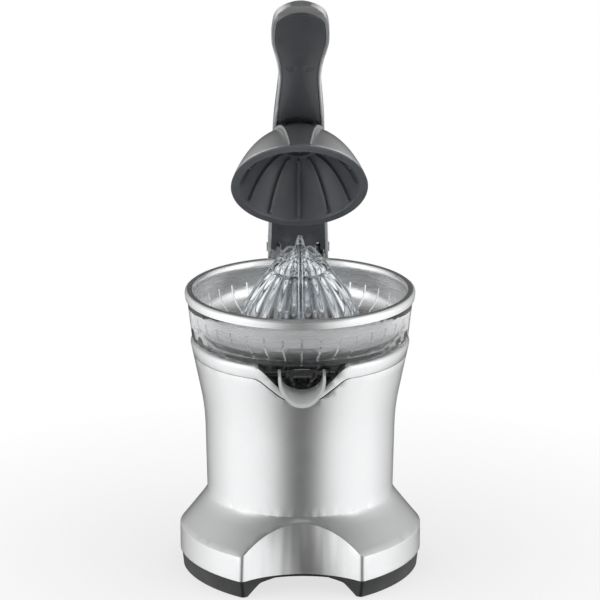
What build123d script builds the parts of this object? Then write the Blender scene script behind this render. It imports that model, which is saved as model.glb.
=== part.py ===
from build123d import *
import math
import os

# Citrus press with a lever arm: a die-cast body on a flared foot, a clear juice bowl with a slotted
# steel strainer and a finned clear cone, and a hinged arm that carries a ribbed pressing dome.
# Millimetres.  Origin: centre of the cone's axis on the table.  +Z is up, the spout points to -Y and
# the arm hinges at +Y.  The arm is built where it lies when it is shut, then swung up to its rest pose.

# ---------------------------------------------------------------- driving dimensions
GAP = 0.3                 # clearance between pieces that move past each other
FIT = 0.15                # clearance between pieces that are assembled by hand
SEAM = 0.5                # visible seam between castings

# body casting
WALL = 3.0
WAIST_R = 86.0
WAIST_Z = 70.0
BEND_R = 87.8
BEND_Z = 150.0
BEND_FILLET = 200.0
LIP_R = 100.6
LIP_Z = 212.5
SEAM_Z = 203.5
COLLAR_TOP_Z = 216.0
BAND_LOW_Z = 17.0
CREST_Z = 40.6            # crisp edge between the foot's upright band and its flare
# foot outline: a superellipse, |x/a|^n + |y/b|^n = 1
FOOT_HALF_W = 111.3
FOOT_MIDDLE_Y = -12.0      # where the foot is widest
FOOT_FRONT_D = 120.0       # reach in front of that line, before the hollow is cut
FOOT_REAR_D = 132.0        # and behind it
FOOT_FRONT_POWER = 1.8     # roundness of the outline, 2 is an ellipse
FOOT_REAR_POWER = 1.7
# flare of the foot as (height, share of the way from the waist to the outline)
FLARE = [(76.0, -0.08), (70.0, 0.0), (64.0, 0.16), (58.1, 0.365), (52.2, 0.58), (46.3, 0.79),
         (CREST_Z, 1.0)]
NOTCH_R = 80.0            # hollow in front of the foot, where a glass stands
NOTCH_DEEPEST_Y = -91.0
NOTCH_CORNER_R = 5.0

# foot skirt and pads
SKIRT_INSET_TOP = 1.2
SKIRT_INSET_SIDE = 3.0    # how far the skirt tapers in at the floor, at the sides
SKIRT_INSET_FRONT = 3.0   # and at the front and back
SKIRT_LOW_Z = 1.0
SKIRT_ARCH = [(50.5, 0.0), (38.0, 11.5), (24.0, 14.5)]   # right half of the gap between the skirt's rails
SKIRT_ARCH_R = 8.0
BASE_PLATE_T = 2.5
VENT_COUNT = 7
VENT_PITCH = 8.0
VENT_W = 3.0
VENT_L = 40.0
BASE_SCREWS = [(-66, -66), (66, -66), (-80, 48), (80, 48)]
BASE_BOSS_R = 5.0
PAD_R = 9.0
PADS = [(-66, -78), (66, -78), (-62, 66), (62, 66)]
GROMMET_Z = 27.0
GROMMET_R = 6.5
GROMMET_BORE_R = 3.6

# spout opening in the collar, as (half width, height) from the top down
V_OUTER = [(43.5, SEAM_Z), (40.0, SEAM_Z - 0.8), (36.5, SEAM_Z - 2.6), (31.0, SEAM_Z - 7.0),
           (18.0, SEAM_Z - 17.0), (8.0, SEAM_Z - 20.5)]
V_INNER = [(39.0, LIP_Z + 10.0), (39.0, LIP_Z + 1.5), (36.5, LIP_Z - 0.4), (33.5, LIP_Z - 3.0),
           (29.5, LIP_Z - 7.0), (19.0, LIP_Z - 18.0), (8.0, LIP_Z - 21.5)]

# juice bowl
BOWL_R_TOP = 103.6
BOWL_R_LOW = 99.3
BOWL_LOW_Z = 218.0
BOWL_SEAT_R = 88.0
BOWL_FLOOR_Z = 203.5
BOWL_WALL = 2.2
BOWL_TUBE_R = 22.0
BOWL_TUBE_Z = 230.0
NOZZLE_HALF_W = 15.0
NOZZLE_FRONT_Y = -106.0
NOZZLE_LOW_Z = 199.0
NOZZLE_LOW_HALF_W = 6.0
NOZZLE_HOLE_HALF_W = 7.5
NOZZLE_HOLE_H = 9.0

# strainer
RIM_R = 105.8
RIM_TOP_Z = 262.0
RIM_H = 8.0
STEEL = 1.0
STRAIN_R = 97.6
STRAIN_BEND_Z = 245.0
STRAIN_FLOOR_R = 70.0
STRAIN_FLOOR_Z = 216.0
STRAIN_TUBE_R = 26.0
SLOT_COUNT = 36
SLOT_W = 1.7
SLOT_TOP_Z = 243.0
SLOT_IN_R = 79.0
FLOOR_SLOTS = 24
FLOOR_SLOT_R = (34.0, 52.0)
FLOOR_SLOT_W = 1.8

# cone
CONE_FOOT_R = 55.0
CONE_FOOT_Z = 233.5
CONE_WALL = 3.0
# outer edge of the ribs as (radius, height), from the foot up to the step
CONE_EDGE = [(55.0, 233.5), (54.0, 240.0), (51.7, 246.5), (42.9, 262.0), (31.5, 277.0)]
STEP_R = 25.0
STEP_Z = 279.0
SPIRE_R = 4.6
SPIRE_Z = 299.0
SPIRE_TIP_R = 2.2
SPIRE_TIP_Z = 312.3
FIN_TOP_R = 10.5
FIN_TOP_Z = 303.0
FIN_T = 2.4
RIB_COUNT = 20
RIB_T = 3.2
RIB_H = 2.4
SOCKET_WALL = 3.0         # tube in the cone that takes the spindle
WEB_T = 2.0

# drive
SPINDLE_R = 6.0
SPINDLE_TOP_Z = 268.0
SPINDLE_TRAVEL = 2.0
SPINDLE_FLAT = 4.6        # from the axis to each of the two driving flats
STRAIN_TUBE_TOP_Z = CONE_FOOT_Z - SPINDLE_TRAVEL - 0.5
SPRING_WIRE = 0.7
SPRING_H = 18.0
MODULE = 1.0
PINION_TEETH = 14
WHEEL_TEETH = 56
CENTRE_DISTANCE = MODULE * (PINION_TEETH + WHEEL_TEETH) / 2
GEAR_CLEARANCE = 0.05
WHEEL_HOLES = 6
WHEEL_HOLE_R = 4.0
WHEEL_HOLE_AT = 18.0
GEAR_T = 8.0
BACKLASH = 0.28
RUN_FIT = 0.06            # radial clearance of a shaft in its bush
LOW_PLATE_Z = 118.0
PLATE_T = 3.0
PLATE_R = 74.0
POST_AT = 69.0            # posts that carry the gear plates, from the axis
POST_ANGLES = (30, 150, 270)
PLATE_HOLE_R = 2.2
STAGE1_Z = 124.0
STAGE2_Z = 134.5
HIGH_PLATE_Z = 146.0
BUSH_H = 14.0
SPRING_LOW_Z = HIGH_PLATE_Z + BUSH_H
SPRING_HIGH_Z = SPRING_LOW_Z + SPRING_H
MOTOR_R = 37.0
MOTOR_LOW_Z = 58.0
MOTOR_SHAFT_R = 3.0
MOTOR_BUSH_R = MOTOR_SHAFT_R + 3.2
ROTOR_R = 19.0
ROTOR_INSET = 14.0        # from each end of the motor to the rotor's core
FAN_R = 32.0
FAN_BLADES = 8
IDLER_SHAFT_R = 3.0

# hinge, column and arm
HINGE_Y = 118.0
HINGE_Z = 268.0
OPEN_DEG = 50.0
PIN_R = 3.0
KNUCKLE_R = 9.0
KNUCKLE_HALF_W = 16.5
COLUMN_HALF_W = 27.0
COLUMN_FRONT_Y = 108.0
COLUMN_REAR_Y = 131.0
COLUMN_TOP_Z = 249.0
COWL_HALF_W = 25.5        # plate that closes the back of the hinge
COWL_LOW_Z = 228.0
COWL_TOP_Z = 263.0
COWL_T = 1.0
COWL_GAP = 0.4            # between that plate and the barrel of the arm
COLUMN_WALL = 3.5
ARM_HINGE_HALF_W = 28.3
ARM_SKIN = 2.8
LINER_DEPTH = 12.0        # from the hinge axis to the arm's underside, and to its back
LINER_T = 2.5
CAM_LOW_R = 7.6
CAM_RISE = 3.0
CAM_T = 4.0
CAM_GAP = 0.5
PLUNGER_R = 2.5
PLUNGER_X = 21.5
# arm stations from the hinge to the tip, arm shut: along, height of the underside, half width,
# depth, slope in degrees
ARM_STATIONS = [
    (110.3, 258.8, 28.3, 24.0, 40.0),
    (99.6, 267.8, 28.1, 24.2, 40.0),
    (85.8, 279.4, 27.5, 24.6, 40.0),
    (72.0, 290.8, 26.8, 25.4, 38.5),
    (58.0, 300.8, 26.0, 26.6, 30.0),
    (42.0, 307.6, 25.2, 28.0, 15.0),
    (24.0, 309.8, 24.5, 28.2, 2.0),
    (2.0, 309.2, 24.0, 27.6, -3.0),
    (-17.0, 308.1, 23.5, 26.7, -2.3),
    (-46.0, 307.4, 22.0, 24.8, 0.5),
    (-67.0, 307.8, 20.6, 23.2, 1.5),
    (-87.0, 308.4, 19.4, 21.8, 1.5),
    (-107.0, 308.9, 19.8, 20.4, 1.0),
    (-123.0, 309.2, 21.9, 19.2, 0.5),
    (-140.0, 309.3, 25.0, 18.0, 0.0),
    (-154.0, 309.3, 26.0, 17.0, 0.0),
    (-167.0, 309.4, 25.2, 16.0, 0.0),
    (-177.0, 309.7, 23.9, 15.0, 0.0),
    (-184.0, 310.4, 21.6, 13.6, 0.0),
    (-189.0, 311.5, 18.0, 11.5, 0.0),
    (-192.0, 313.0, 13.2, 8.6, 0.0),
    (-193.3, 314.2, 9.0, 6.2, 0.0),
]
LINER_STATIONS = (0, 5)   # dark plate between the hinge and the dome
WEB_STATIONS = (4, 9)    # cast web over the dome
INSERT_STATIONS = (8, 20)  # dark insert under the grip
CAVITY_END = 20
INSERT_END_Y = -168.0     # where the insert starts to round off towards the tip
INSERT_END_L = 19.0       # length of that rounded end
INSERT_CROWN = 2.4        # how far the insert swells in its middle

# dome
DOME_R = 63.0
DOME_RIM_Z = 254.0
DOME_H = 54.0
DOME_SKIN = 2.2
DOME_RIM_H = 2.8          # height of the liner's dark rim that shows below the shell
DOME_POWER = (1.075, 2.98)
LIP_W = 5.2               # width of the liner's dark lip at the rim
LINER_H = 46.5
CUP_R = 15.5              # recess for the tip of the cone
CUP_WALL = 2.0
CUP_TOP_Z = 316.0
NECK_WALL = 3.2
DOME_RIBS = 12
DOME_RIB_T = 2.2
DOME_RIB_H = 3.6
DOME_RIB_IN_R = 17.8
SPINE_TOP_HALF_W = 23.0
SPINE_LOW_HALF_W = 8.5
RIDGE_W = 1.4
RIDGE_H = 2.6

# drip-stop spout
SPOUT_HALF_W = 21.3
SPOUT_T = 2.5
SPOUT_PIVOT_Y = -91.0
SPOUT_PIVOT_Z = 207.5
SPOUT_PIN_R = 1.6
SPOUT_PIN_IN_X = 18.0
SPOUT_PIN_OUT_X = 36.0
SPOUT_TIP_Y = -126.0
SPOUT_TOP_Y = -111.0
SPOUT_BACK_Y = -94.5
SPOUT_BOTTOM_Z = 187.5
SPOUT_BACK_BOTTOM_Z = 192.6
SPOUT_TOP_Z = 212.0

LOW = (Align.CENTER, Align.CENTER, Align.MIN)


# ---------------------------------------------------------------- helpers
def turned(*edges):
    """Solid of revolution about Z of a closed profile given as (radius, height) edges."""
    return revolve(Plane.XZ * make_face(Curve() + list(edges)), Axis.Z)


def lathe(*points):
    """Solid of revolution about Z of a straight-sided profile."""
    return turned(Polyline(*points, close=True))


def tube(outer_r, inner_r, low_z, high_z):
    rod = Pos(0, 0, low_z) * Cylinder(outer_r, high_z - low_z, align=LOW)
    return rod - Pos(0, 0, low_z - 1) * Cylinder(inner_r, high_z - low_z + 2, align=LOW)


def upright(x, y, radius, low_z, high_z):
    return Pos(x, y, low_z) * Cylinder(radius, high_z - low_z, align=LOW)


def crosswise(y, z, radius, x_low, x_high):
    """Cylinder along X."""
    rod = Cylinder(radius, x_high - x_low, align=LOW)
    return Pos(x_low, y, z) * Rot(0, 90, 0) * rod


def block(x0, x1, y0, y1, z0, z1):
    return Pos(x0, y0, z0) * Box(x1 - x0, y1 - y0, z1 - z0, align=(Align.MIN,) * 3)


def side_prism(points, x_low, x_high):
    """Prism of a (y, z) outline between two x values."""
    face = Plane.YZ * make_face(Polyline(*points, close=True))
    return Pos(x_low, 0, 0) * extrude(face, amount=x_high - x_low)


def front_prism(points, y_low, y_high):
    """Prism of an (x, z) outline between two y values."""
    face = Plane.XZ * make_face(Polyline(*points, close=True))
    return Pos(0, y_high, 0) * extrude(face, amount=y_high - y_low)


def swung(shape):
    """From the shut pose to the open rest pose."""
    return shape.rotate(Axis((0, HINGE_Y, HINGE_Z), (1, 0, 0)), -OPEN_DEG)


def screw(x, y, head_z, length, radius=1.8, head_r=3.4, head_h=2.4):
    """Pan-head screw whose shank points down from head_z."""
    shank = upright(x, y, radius, head_z - length, head_z)
    head = upright(x, y, head_r, head_z, head_z + head_h)
    recess = Pos(x, y, head_z + head_h) * Box(3.2, 0.8, 2.0)
    return shank + head - recess - Pos(x, y, head_z + head_h) * Box(0.8, 3.2, 2.0)


def group(shapes):
    return Compound(children=[s for shape in shapes for s in shape.solids()])


# ---------------------------------------------------------------- body casting
def body_core(inset, low_z, high_z):
    """Solid inside the body's tapered wall, brought in by inset."""
    slope_low = (BEND_R - WAIST_R) / (BEND_Z - WAIST_Z)
    slope_high = (LIP_R - BEND_R) / (LIP_Z - BEND_Z)
    low_r = WAIST_R + slope_low * (low_z - WAIST_Z) - inset
    high_r = LIP_R + slope_high * (high_z - LIP_Z) - inset
    if low_z >= BEND_Z:
        low_r = BEND_R + slope_high * (low_z - BEND_Z) - inset
        side = Line((low_r, low_z), (high_r, high_z))
    else:
        side = FilletPolyline((low_r, low_z), (BEND_R - inset, BEND_Z), (high_r, high_z),
                              radius=BEND_FILLET)
    return turned(Line((0, low_z), (low_r, low_z)), side, Line((high_r, high_z), (0, high_z)),
                  Line((0, high_z), (0, low_z)))


def foot_face(z, share, inset, in_side=0.0, in_front=0.0):
    """Foot outline at height z, share of the way out from the waist."""
    points = []
    half_w = FOOT_HALF_W - in_side
    for k in range(24):
        x, y = math.sin(math.radians(15 * k)), -math.cos(math.radians(15 * k))
        depth, n = (FOOT_FRONT_D, FOOT_FRONT_POWER) if y < 0 else (FOOT_REAR_D, FOOT_REAR_POWER)
        out = (abs(x / half_w) ** n + abs(y / (depth - in_front)) ** n) ** (-1 / n)
        x, y = out * x, FOOT_MIDDLE_Y + out * y
        outline_r = math.hypot(x, y)
        r = WAIST_R + (outline_r - WAIST_R) * share - inset
        points.append((x * r / outline_r, y * r / outline_r, z))
    return make_face(Spline(*points, periodic=True))


def notched(face, z, inset):
    """Foot outline with the hollow for a glass cut out and its two corners rounded."""
    hollow = Pos(0, NOTCH_DEEPEST_Y - NOTCH_R, z) * Circle(NOTCH_R + inset)
    cut = face - hollow
    return fillet(cut.vertices(), max(NOTCH_CORNER_R - inset, 1.0))


def foot_solid(inset, low_z):
    flare = loft([foot_face(z, share, inset) for z, share in FLARE])
    band = extrude(foot_face(low_z, 1.0, inset), amount=CREST_Z - low_z)
    outline = notched(foot_face(low_z, 1.0, inset), low_z, inset)
    return (flare + band) & extrude(outline, amount=FLARE[0][0] + 1 - low_z)


def v_outline(points, top_z, grow=0.0):
    """Outline of the spout opening, from its left top round to its right top."""
    right = [(x + grow, z - grow) for x, z in points]
    return [(-right[0][0], top_z)] + [(-x, z) for x, z in right] + \
           [(x, z) for x, z in reversed(right)] + [(right[0][0], top_z)]


def v_prism(points, top_z, grow=0.0):
    return front_prism(v_outline(points, top_z, grow), -LIP_R - 10, -60)


def plate_posts():
    """Places of the three posts that carry the gear plates."""
    turns = [math.radians(angle) for angle in POST_ANGLES]
    return [(POST_AT * math.cos(a), POST_AT * math.sin(a)) for a in turns]


def housing_bosses():
    """Three posts inside the body that carry the gear plates, and four at the foot."""
    low = LOW_PLATE_Z - 20
    posts = [upright(x, y, BASE_BOSS_R, low, LOW_PLATE_Z) for x, y in plate_posts()]
    for angle in POST_ANGLES:
        posts.append(Rot(0, 0, angle) * block(60, WAIST_R, -2.5, 2.5, low, LOW_PLATE_Z))
    for x, y in BASE_SCREWS:
        posts.append(upright(x, y, BASE_BOSS_R, BAND_LOW_Z + BASE_PLATE_T, 60))
    return posts


def base_housing():
    outer = body_core(0, WAIST_Z - 6, SEAM_Z - SEAM) + foot_solid(0, BAND_LOW_Z)
    inner = body_core(WALL, WAIST_Z - 6, SEAM_Z + 2) + foot_solid(WALL, BAND_LOW_Z - 1)
    shell = outer - inner
    for post in housing_bosses():
        shell += post & outer
    for x, y in BASE_SCREWS:
        shell -= upright(x, y, 1.9, 0, 40)
    shell -= v_prism(V_OUTER, SEAM_Z + 5, SEAM)
    shell -= outlet_rod(80, 70, GROMMET_R + FIT)
    return shell


def outlet_rod(y, length, radius):
    """Rod along Y on the axis of the cord outlet."""
    return Pos(0, y, GROMMET_Z) * Rot(-90, 0, 0) * Cylinder(radius, length, align=LOW)


def cord_grommet():
    """Ring that lines the cord outlet in the back of the foot."""
    rear_y = FOOT_MIDDLE_Y + FOOT_REAR_D
    body = outlet_rod(rear_y - WALL - 3, WALL + 5, GROMMET_R)
    flange = outlet_rod(rear_y + 0.2, 2, GROMMET_R + 2.5)
    return body + flange - outlet_rod(80, 70, GROMMET_BORE_R)


def top_collar():
    """Upper ring of the body: it holds the bowl and dips round the spout."""
    outer = body_core(0, SEAM_Z, LIP_Z)
    lip = lathe((0, LIP_Z), (LIP_R, LIP_Z), (LIP_R - 0.5, LIP_Z + 1.8), (LIP_R - 2.2, COLLAR_TOP_Z),
                (0, COLLAR_TOP_Z))
    skirt = body_core(WALL + GAP, SEAM_Z - 5, SEAM_Z)
    bore_r = BOWL_SEAT_R + GAP + 0.6
    ring = outer + lip + skirt - upright(0, 0, bore_r - 5.2, SEAM_Z - 8, SEAM_Z) - \
        upright(0, 0, bore_r, SEAM_Z - 1, COLLAR_TOP_Z + 1)
    apron = (body_core(0, 150, SEAM_Z) - body_core(WALL, 150, SEAM_Z)) & \
        v_prism(V_OUTER, SEAM_Z + 5, -SEAM / 2)
    collar = ring + apron - v_prism(V_INNER, COLLAR_TOP_Z + 5)
    return collar - spout_pins(SPOUT_PIN_R + 0.02)


def spout_pins(radius=SPOUT_PIN_R):
    """Two stub pins that carry the spout."""
    right = crosswise(SPOUT_PIVOT_Y, SPOUT_PIVOT_Z, radius, SPOUT_PIN_IN_X, SPOUT_PIN_OUT_X)
    left = crosswise(SPOUT_PIVOT_Y, SPOUT_PIVOT_Z, radius, -SPOUT_PIN_OUT_X, -SPOUT_PIN_IN_X)
    return group([left, right])


def deck():
    """Dark tray under the bowl, with the pocket behind the spout opening."""
    top = BOWL_FLOOR_Z - 0.5
    inner_r = BOWL_SEAT_R + GAP + 0.6 - 5.2
    disc = tube(inner_r - FIT, 16, top - 3, top)
    pocket = block(-33, 33, -83, -74, V_OUTER[-1][1] - 6, top - 3)
    floor = block(-33, 33, -88, -74, V_OUTER[-1][1] - 8, V_OUTER[-1][1] - 5)
    tower = tube(19, 16, top - 12, top + 10)
    tray = disc + tower + pocket + (floor & body_core(WALL + GAP, 150, SEAM_Z))
    tray -= tube(LIP_R, inner_r - FIT, SEAM_Z - 6, SEAM_Z)
    return tray - front_prism(nozzle_points(1.5), -120, -79)


# ---------------------------------------------------------------- foot
def skirt_solid():
    """Two dark rails under the foot that taper in to the floor."""
    top_z = BAND_LOW_Z - SEAM / 2
    top = foot_face(top_z, 1.0, 0, SKIRT_INSET_TOP, SKIRT_INSET_TOP)
    low = foot_face(SKIRT_LOW_Z, 1.0, 0, SKIRT_INSET_SIDE, SKIRT_INSET_FRONT)
    solid = loft([notched(low, SKIRT_LOW_Z, SKIRT_INSET_TOP), notched(top, top_z, SKIRT_INSET_TOP)])
    left = [(-x, z) for x, z in reversed(SKIRT_ARCH)]
    arch = make_face(Polyline(*SKIRT_ARCH, *left, close=True))
    arch = fillet([v for v in arch.vertices() if v.Y > 1], SKIRT_ARCH_R)
    return solid - Pos(0, 150, 0) * extrude(Plane.XZ * arch, amount=300)


def base_plate():
    """Underside cover with the skirt rails, hollowed from above."""
    solid = skirt_solid()
    plate = foot_solid(WALL + FIT, BAND_LOW_Z) & \
        block(-130, 130, -140, 140, BAND_LOW_Z - 1, BAND_LOW_Z + BASE_PLATE_T)
    solid += plate
    for side in (-1, 1):
        x0, x1 = sorted((side * 60, side * 84))
        solid -= block(x0, x1, -64, 36, SKIRT_LOW_Z + 5, BAND_LOW_Z + BASE_PLATE_T + 1)
    for x, y in BASE_SCREWS:
        solid += upright(x, y, 7, SKIRT_LOW_Z, BAND_LOW_Z + BASE_PLATE_T)
        solid -= upright(x, y, 2.1, 0, 40)
        solid -= upright(x, y, 4.0, 0, BAND_LOW_Z - 4)
    for x, y in PADS:
        solid -= upright(x, y, PAD_R + FIT, 0, SKIRT_LOW_Z + 2)
    for k in range(VENT_COUNT):
        x = (k - (VENT_COUNT - 1) / 2) * VENT_PITCH
        solid -= block(x - VENT_W / 2, x + VENT_W / 2, -VENT_L / 2, VENT_L / 2, 0, 30)
    return solid


def foot_pads():
    return group([upright(x, y, PAD_R, 0, SKIRT_LOW_Z + 2) for x, y in PADS])


def base_screws():
    one = Rot(180, 0, 0) * screw(0, 0, 0, 22, 1.8, 3.5, 2.2)
    return group([Pos(x, y, BAND_LOW_Z - 4) * one for x, y in BASE_SCREWS])


# ---------------------------------------------------------------- bowl, strainer, cone
def nozzle_points(grow):
    """Cross-section of the spout nozzle, a blunt V, as (x, z)."""
    w, top = NOZZLE_HALF_W + grow, BOWL_LOW_Z - 1
    low_w, low = NOZZLE_LOW_HALF_W + grow, NOZZLE_LOW_Z - grow
    return [(-w, top), (-w, BOWL_FLOOR_Z + 6), (-low_w, low), (low_w, low), (w, BOWL_FLOOR_Z + 6),
            (w, top)]


def juice_bowl():
    """Clear bowl with a centre tube and a nozzle that opens over the spout."""
    outer = lathe((0, BOWL_FLOOR_Z), (BOWL_SEAT_R - 2, BOWL_FLOOR_Z), (BOWL_SEAT_R, BOWL_FLOOR_Z + 2),
                  (BOWL_SEAT_R, BOWL_LOW_Z - 0.5), (BOWL_R_LOW, BOWL_LOW_Z),
                  (BOWL_R_LOW + 0.4, BOWL_LOW_Z + 2.5), (BOWL_R_TOP, RIM_TOP_Z - RIM_H),
                  (0, RIM_TOP_Z - RIM_H))
    outer += front_prism(nozzle_points(0), NOZZLE_FRONT_Y, -80)
    w = BOWL_WALL
    inner = lathe((BOWL_TUBE_R, BOWL_FLOOR_Z + w), (BOWL_SEAT_R - w - 2, BOWL_FLOOR_Z + w),
                  (BOWL_SEAT_R - w, BOWL_FLOOR_Z + w + 2), (BOWL_SEAT_R - w, BOWL_LOW_Z + w),
                  (BOWL_R_LOW - w, BOWL_LOW_Z + w + 2), (BOWL_R_TOP - w, RIM_TOP_Z),
                  (BOWL_TUBE_R, RIM_TOP_Z))
    inner += front_prism(nozzle_points(-w), NOZZLE_FRONT_Y + w, -80)
    bowl = outer - inner - upright(0, 0, BOWL_TUBE_R + 0.1, BOWL_TUBE_Z, RIM_TOP_Z)
    bowl -= upright(0, 0, BOWL_TUBE_R - w, BOWL_FLOOR_Z - 1, RIM_TOP_Z)
    low = NOZZLE_LOW_Z + w
    return bowl - block(-NOZZLE_HOLE_HALF_W, NOZZLE_HOLE_HALF_W, NOZZLE_FRONT_Y - 1,
                        NOZZLE_FRONT_Y + w + 1, low, low + NOZZLE_HOLE_H)


def strainer_curve(offset):
    """Meridian of the strainer from its wall down to its floor."""
    r = STRAIN_R + offset
    return Spline((r, STRAIN_BEND_Z), (r - 5.3, STRAIN_FLOOR_Z + 12.5 - offset * 0.3),
                  (r - 14.6, STRAIN_FLOOR_Z + 4 - offset * 0.7),
                  (STRAIN_FLOOR_R, STRAIN_FLOOR_Z - offset),
                  tangents=((0, -1), (-1, -0.06)))


def strainer():
    rim_low = RIM_TOP_Z - RIM_H
    low, floor = STRAIN_FLOOR_Z, 219.6
    t = STEEL
    inside = strainer_curve(-t / 2)
    outside = strainer_curve(t / 2)
    profile = [
        inside, outside,
        Line(inside @ 1, (STRAIN_TUBE_R + t, floor + t)),
        Line((STRAIN_TUBE_R + t, floor + t), (STRAIN_TUBE_R + t, STRAIN_TUBE_TOP_Z)),
        Line((STRAIN_TUBE_R + t, STRAIN_TUBE_TOP_Z), (STRAIN_TUBE_R, STRAIN_TUBE_TOP_Z)),
        Line((STRAIN_TUBE_R, STRAIN_TUBE_TOP_Z), (STRAIN_TUBE_R, floor)),
        Line((STRAIN_TUBE_R, floor), outside @ 1),
        Polyline(inside @ 0, (STRAIN_R, RIM_TOP_Z - 2), (STRAIN_R + 1.5, RIM_TOP_Z),
                 (RIM_R - 2.2, RIM_TOP_Z), (RIM_R - 0.4, RIM_TOP_Z - 1.4), (RIM_R, RIM_TOP_Z - 3.2),
                 (RIM_R - 0.6, rim_low + GAP), (BOWL_R_TOP - BOWL_WALL - 0.6, rim_low + GAP),
                 (STRAIN_R + t, rim_low - 1), outside @ 0),
    ]
    body = turned(*profile)
    slots = [Rot(0, 0, k * 360 / SLOT_COUNT) *
             block(SLOT_IN_R, 115, -SLOT_W / 2, SLOT_W / 2, low - 5, SLOT_TOP_Z)
             for k in range(SLOT_COUNT)]
    rows = [Rot(0, 0, (k + 0.5) * 360 / FLOOR_SLOTS) *
            block(*FLOOR_SLOT_R, -FLOOR_SLOT_W / 2, FLOOR_SLOT_W / 2, low - 5, low + 5)
            for k in range(FLOOR_SLOTS)]
    return body - slots - rows


def cone_profile(inset):
    """Surface between the ribs, or the hollow below it."""
    edge = [(r - inset, z - inset * 0.5) for r, z in CONE_EDGE[1:]]
    step = (STEP_R - inset, STEP_Z - inset * 0.5)
    return [(CONE_FOOT_R - inset, CONE_FOOT_Z)] + edge + [step]


def cone():
    """Clear reamer: a ribbed lower skirt, a star-shaped upper tier, four fins and a spire."""
    core = lathe((0, CONE_FOOT_Z), *cone_profile(RIB_H), (SPIRE_R + 2.0, SPIRE_Z - 4),
                 (SPIRE_R, SPIRE_Z), (SPIRE_TIP_R, SPIRE_TIP_Z - 1.6), (SPIRE_TIP_R * 0.5, SPIRE_TIP_Z),
                 (0, SPIRE_TIP_Z))
    hull = lathe((0, CONE_FOOT_Z), *cone_profile(0), (FIN_TOP_R + 1, STEP_Z + 13), (0, STEP_Z + 16))
    ribs = [Rot(0, 0, (k + 0.5) * 360 / RIB_COUNT) *
            block(2, 60, -RIB_T / 2, RIB_T / 2, CONE_FOOT_Z, SPIRE_Z) for k in range(RIB_COUNT)]
    fin_edge = [(0, CONE_FOOT_Z)] + CONE_EDGE + [(21.9, 290.6), (FIN_TOP_R, FIN_TOP_Z),
                                                  (SPIRE_R - 0.6, SPIRE_Z), (0, SPIRE_Z)]
    fin_hull = lathe(*fin_edge)
    fins = [Rot(0, 0, k * 90) * block(0, 60, -FIN_T / 2, FIN_T / 2, CONE_FOOT_Z, FIN_TOP_Z + 1)
            for k in range(4)]
    solid = core
    for rib in ribs:
        solid += rib & hull
    for fin in fins:
        solid += fin & fin_hull
    cavity = lathe((0, CONE_FOOT_Z - 1), (CONE_FOOT_R - RIB_H - CONE_WALL, CONE_FOOT_Z - 1),
                   *[(r - RIB_H - CONE_WALL, z - 3.0) for r, z in CONE_EDGE[1:]],
                   (8, STEP_Z - 6), (0, STEP_Z - 5))
    socket = tube(SPINDLE_R + SOCKET_WALL, SPINDLE_R + FIT, CONE_FOOT_Z + 2, SPINDLE_TOP_Z + 1)
    web = block(SPINDLE_R + SOCKET_WALL - 1, 40, -WEB_T / 2, WEB_T / 2, CONE_FOOT_Z + 8, STEP_Z)
    webs = [Rot(0, 0, 45 + k * 90) * web for k in range(4)]
    inside = cavity - socket
    for web in webs:
        inside -= web
    solid -= inside
    return solid - spindle_flats(FIT)


def spindle_flats(grow):
    """Upper end of the spindle: a round shaft with two flats that drives the cone."""
    rod = upright(0, 0, SPINDLE_R + grow, 225, SPINDLE_TOP_Z + grow)
    flat = SPINDLE_FLAT + grow
    flats = block(-flat, flat, -10, 10, CONE_FOOT_Z + 1, SPINDLE_TOP_Z + 3)
    return (rod & flats) + (rod & block(-10, 10, -10, 10, 220, CONE_FOOT_Z + 1))


# ---------------------------------------------------------------- drive
def gear_face(teeth, clearance):
    """Involute spur gear outline; clearance is the radius left free at tip and root."""
    pitch_r = MODULE * teeth / 2
    base_r = pitch_r * math.cos(math.radians(20))
    tip_r = pitch_r + MODULE * 0.9 - clearance
    root_r = pitch_r - MODULE * 1.2
    half = math.pi / 2 / teeth - BACKLASH / 2 / pitch_r

    def involute(radius):
        if radius <= base_r:
            return 0.0
        t = math.sqrt((radius / base_r) ** 2 - 1)
        return t - math.atan(t)

    start = half + involute(pitch_r)
    low_r = max(root_r, base_r)
    flank_radii = [low_r + (tip_r - low_r) * k / 4 for k in range(5)]
    if root_r < base_r:
        flank_radii = [root_r] + flank_radii
    points = []
    for k in range(teeth):
        centre = 2 * math.pi * k / teeth
        left = [(r, centre - start + involute(r)) for r in flank_radii]
        right = [(r, centre + start - involute(r)) for r in reversed(flank_radii)]
        points += [(r * math.cos(a), r * math.sin(a)) for r, a in left + right]
    return make_face(Polyline(*points, close=True))


def gear(teeth, low_z, thickness, bore_r, clearance=0.0):
    solid = extrude(Pos(0, 0, low_z) * gear_face(teeth, clearance), amount=thickness)
    return solid - upright(0, 0, bore_r, low_z - 1, low_z + thickness + 1)


def wheel_holes():
    """Lightening holes of a large wheel."""
    hole = upright(WHEEL_HOLE_AT, 0, WHEEL_HOLE_R, LOW_PLATE_Z, HIGH_PLATE_Z)
    return [Rot(0, 0, k * 360 / WHEEL_HOLES) * hole for k in range(WHEEL_HOLES)]


def output_gear():
    """Large wheel that turns the spindle through two flats."""
    wheel = gear(WHEEL_TEETH, STAGE2_Z, GEAR_T, 1, GEAR_CLEARANCE)
    hub = upright(0, 0, 12, STAGE2_Z, HIGH_PLATE_Z - GAP)
    flat = SPINDLE_FLAT + FIT
    slot = upright(0, 0, SPINDLE_R + FIT, LOW_PLATE_Z, HIGH_PLATE_Z) & \
        block(-flat, flat, -10, 10, LOW_PLATE_Z, HIGH_PLATE_Z)
    return wheel + hub - wheel_holes() - slot


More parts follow.
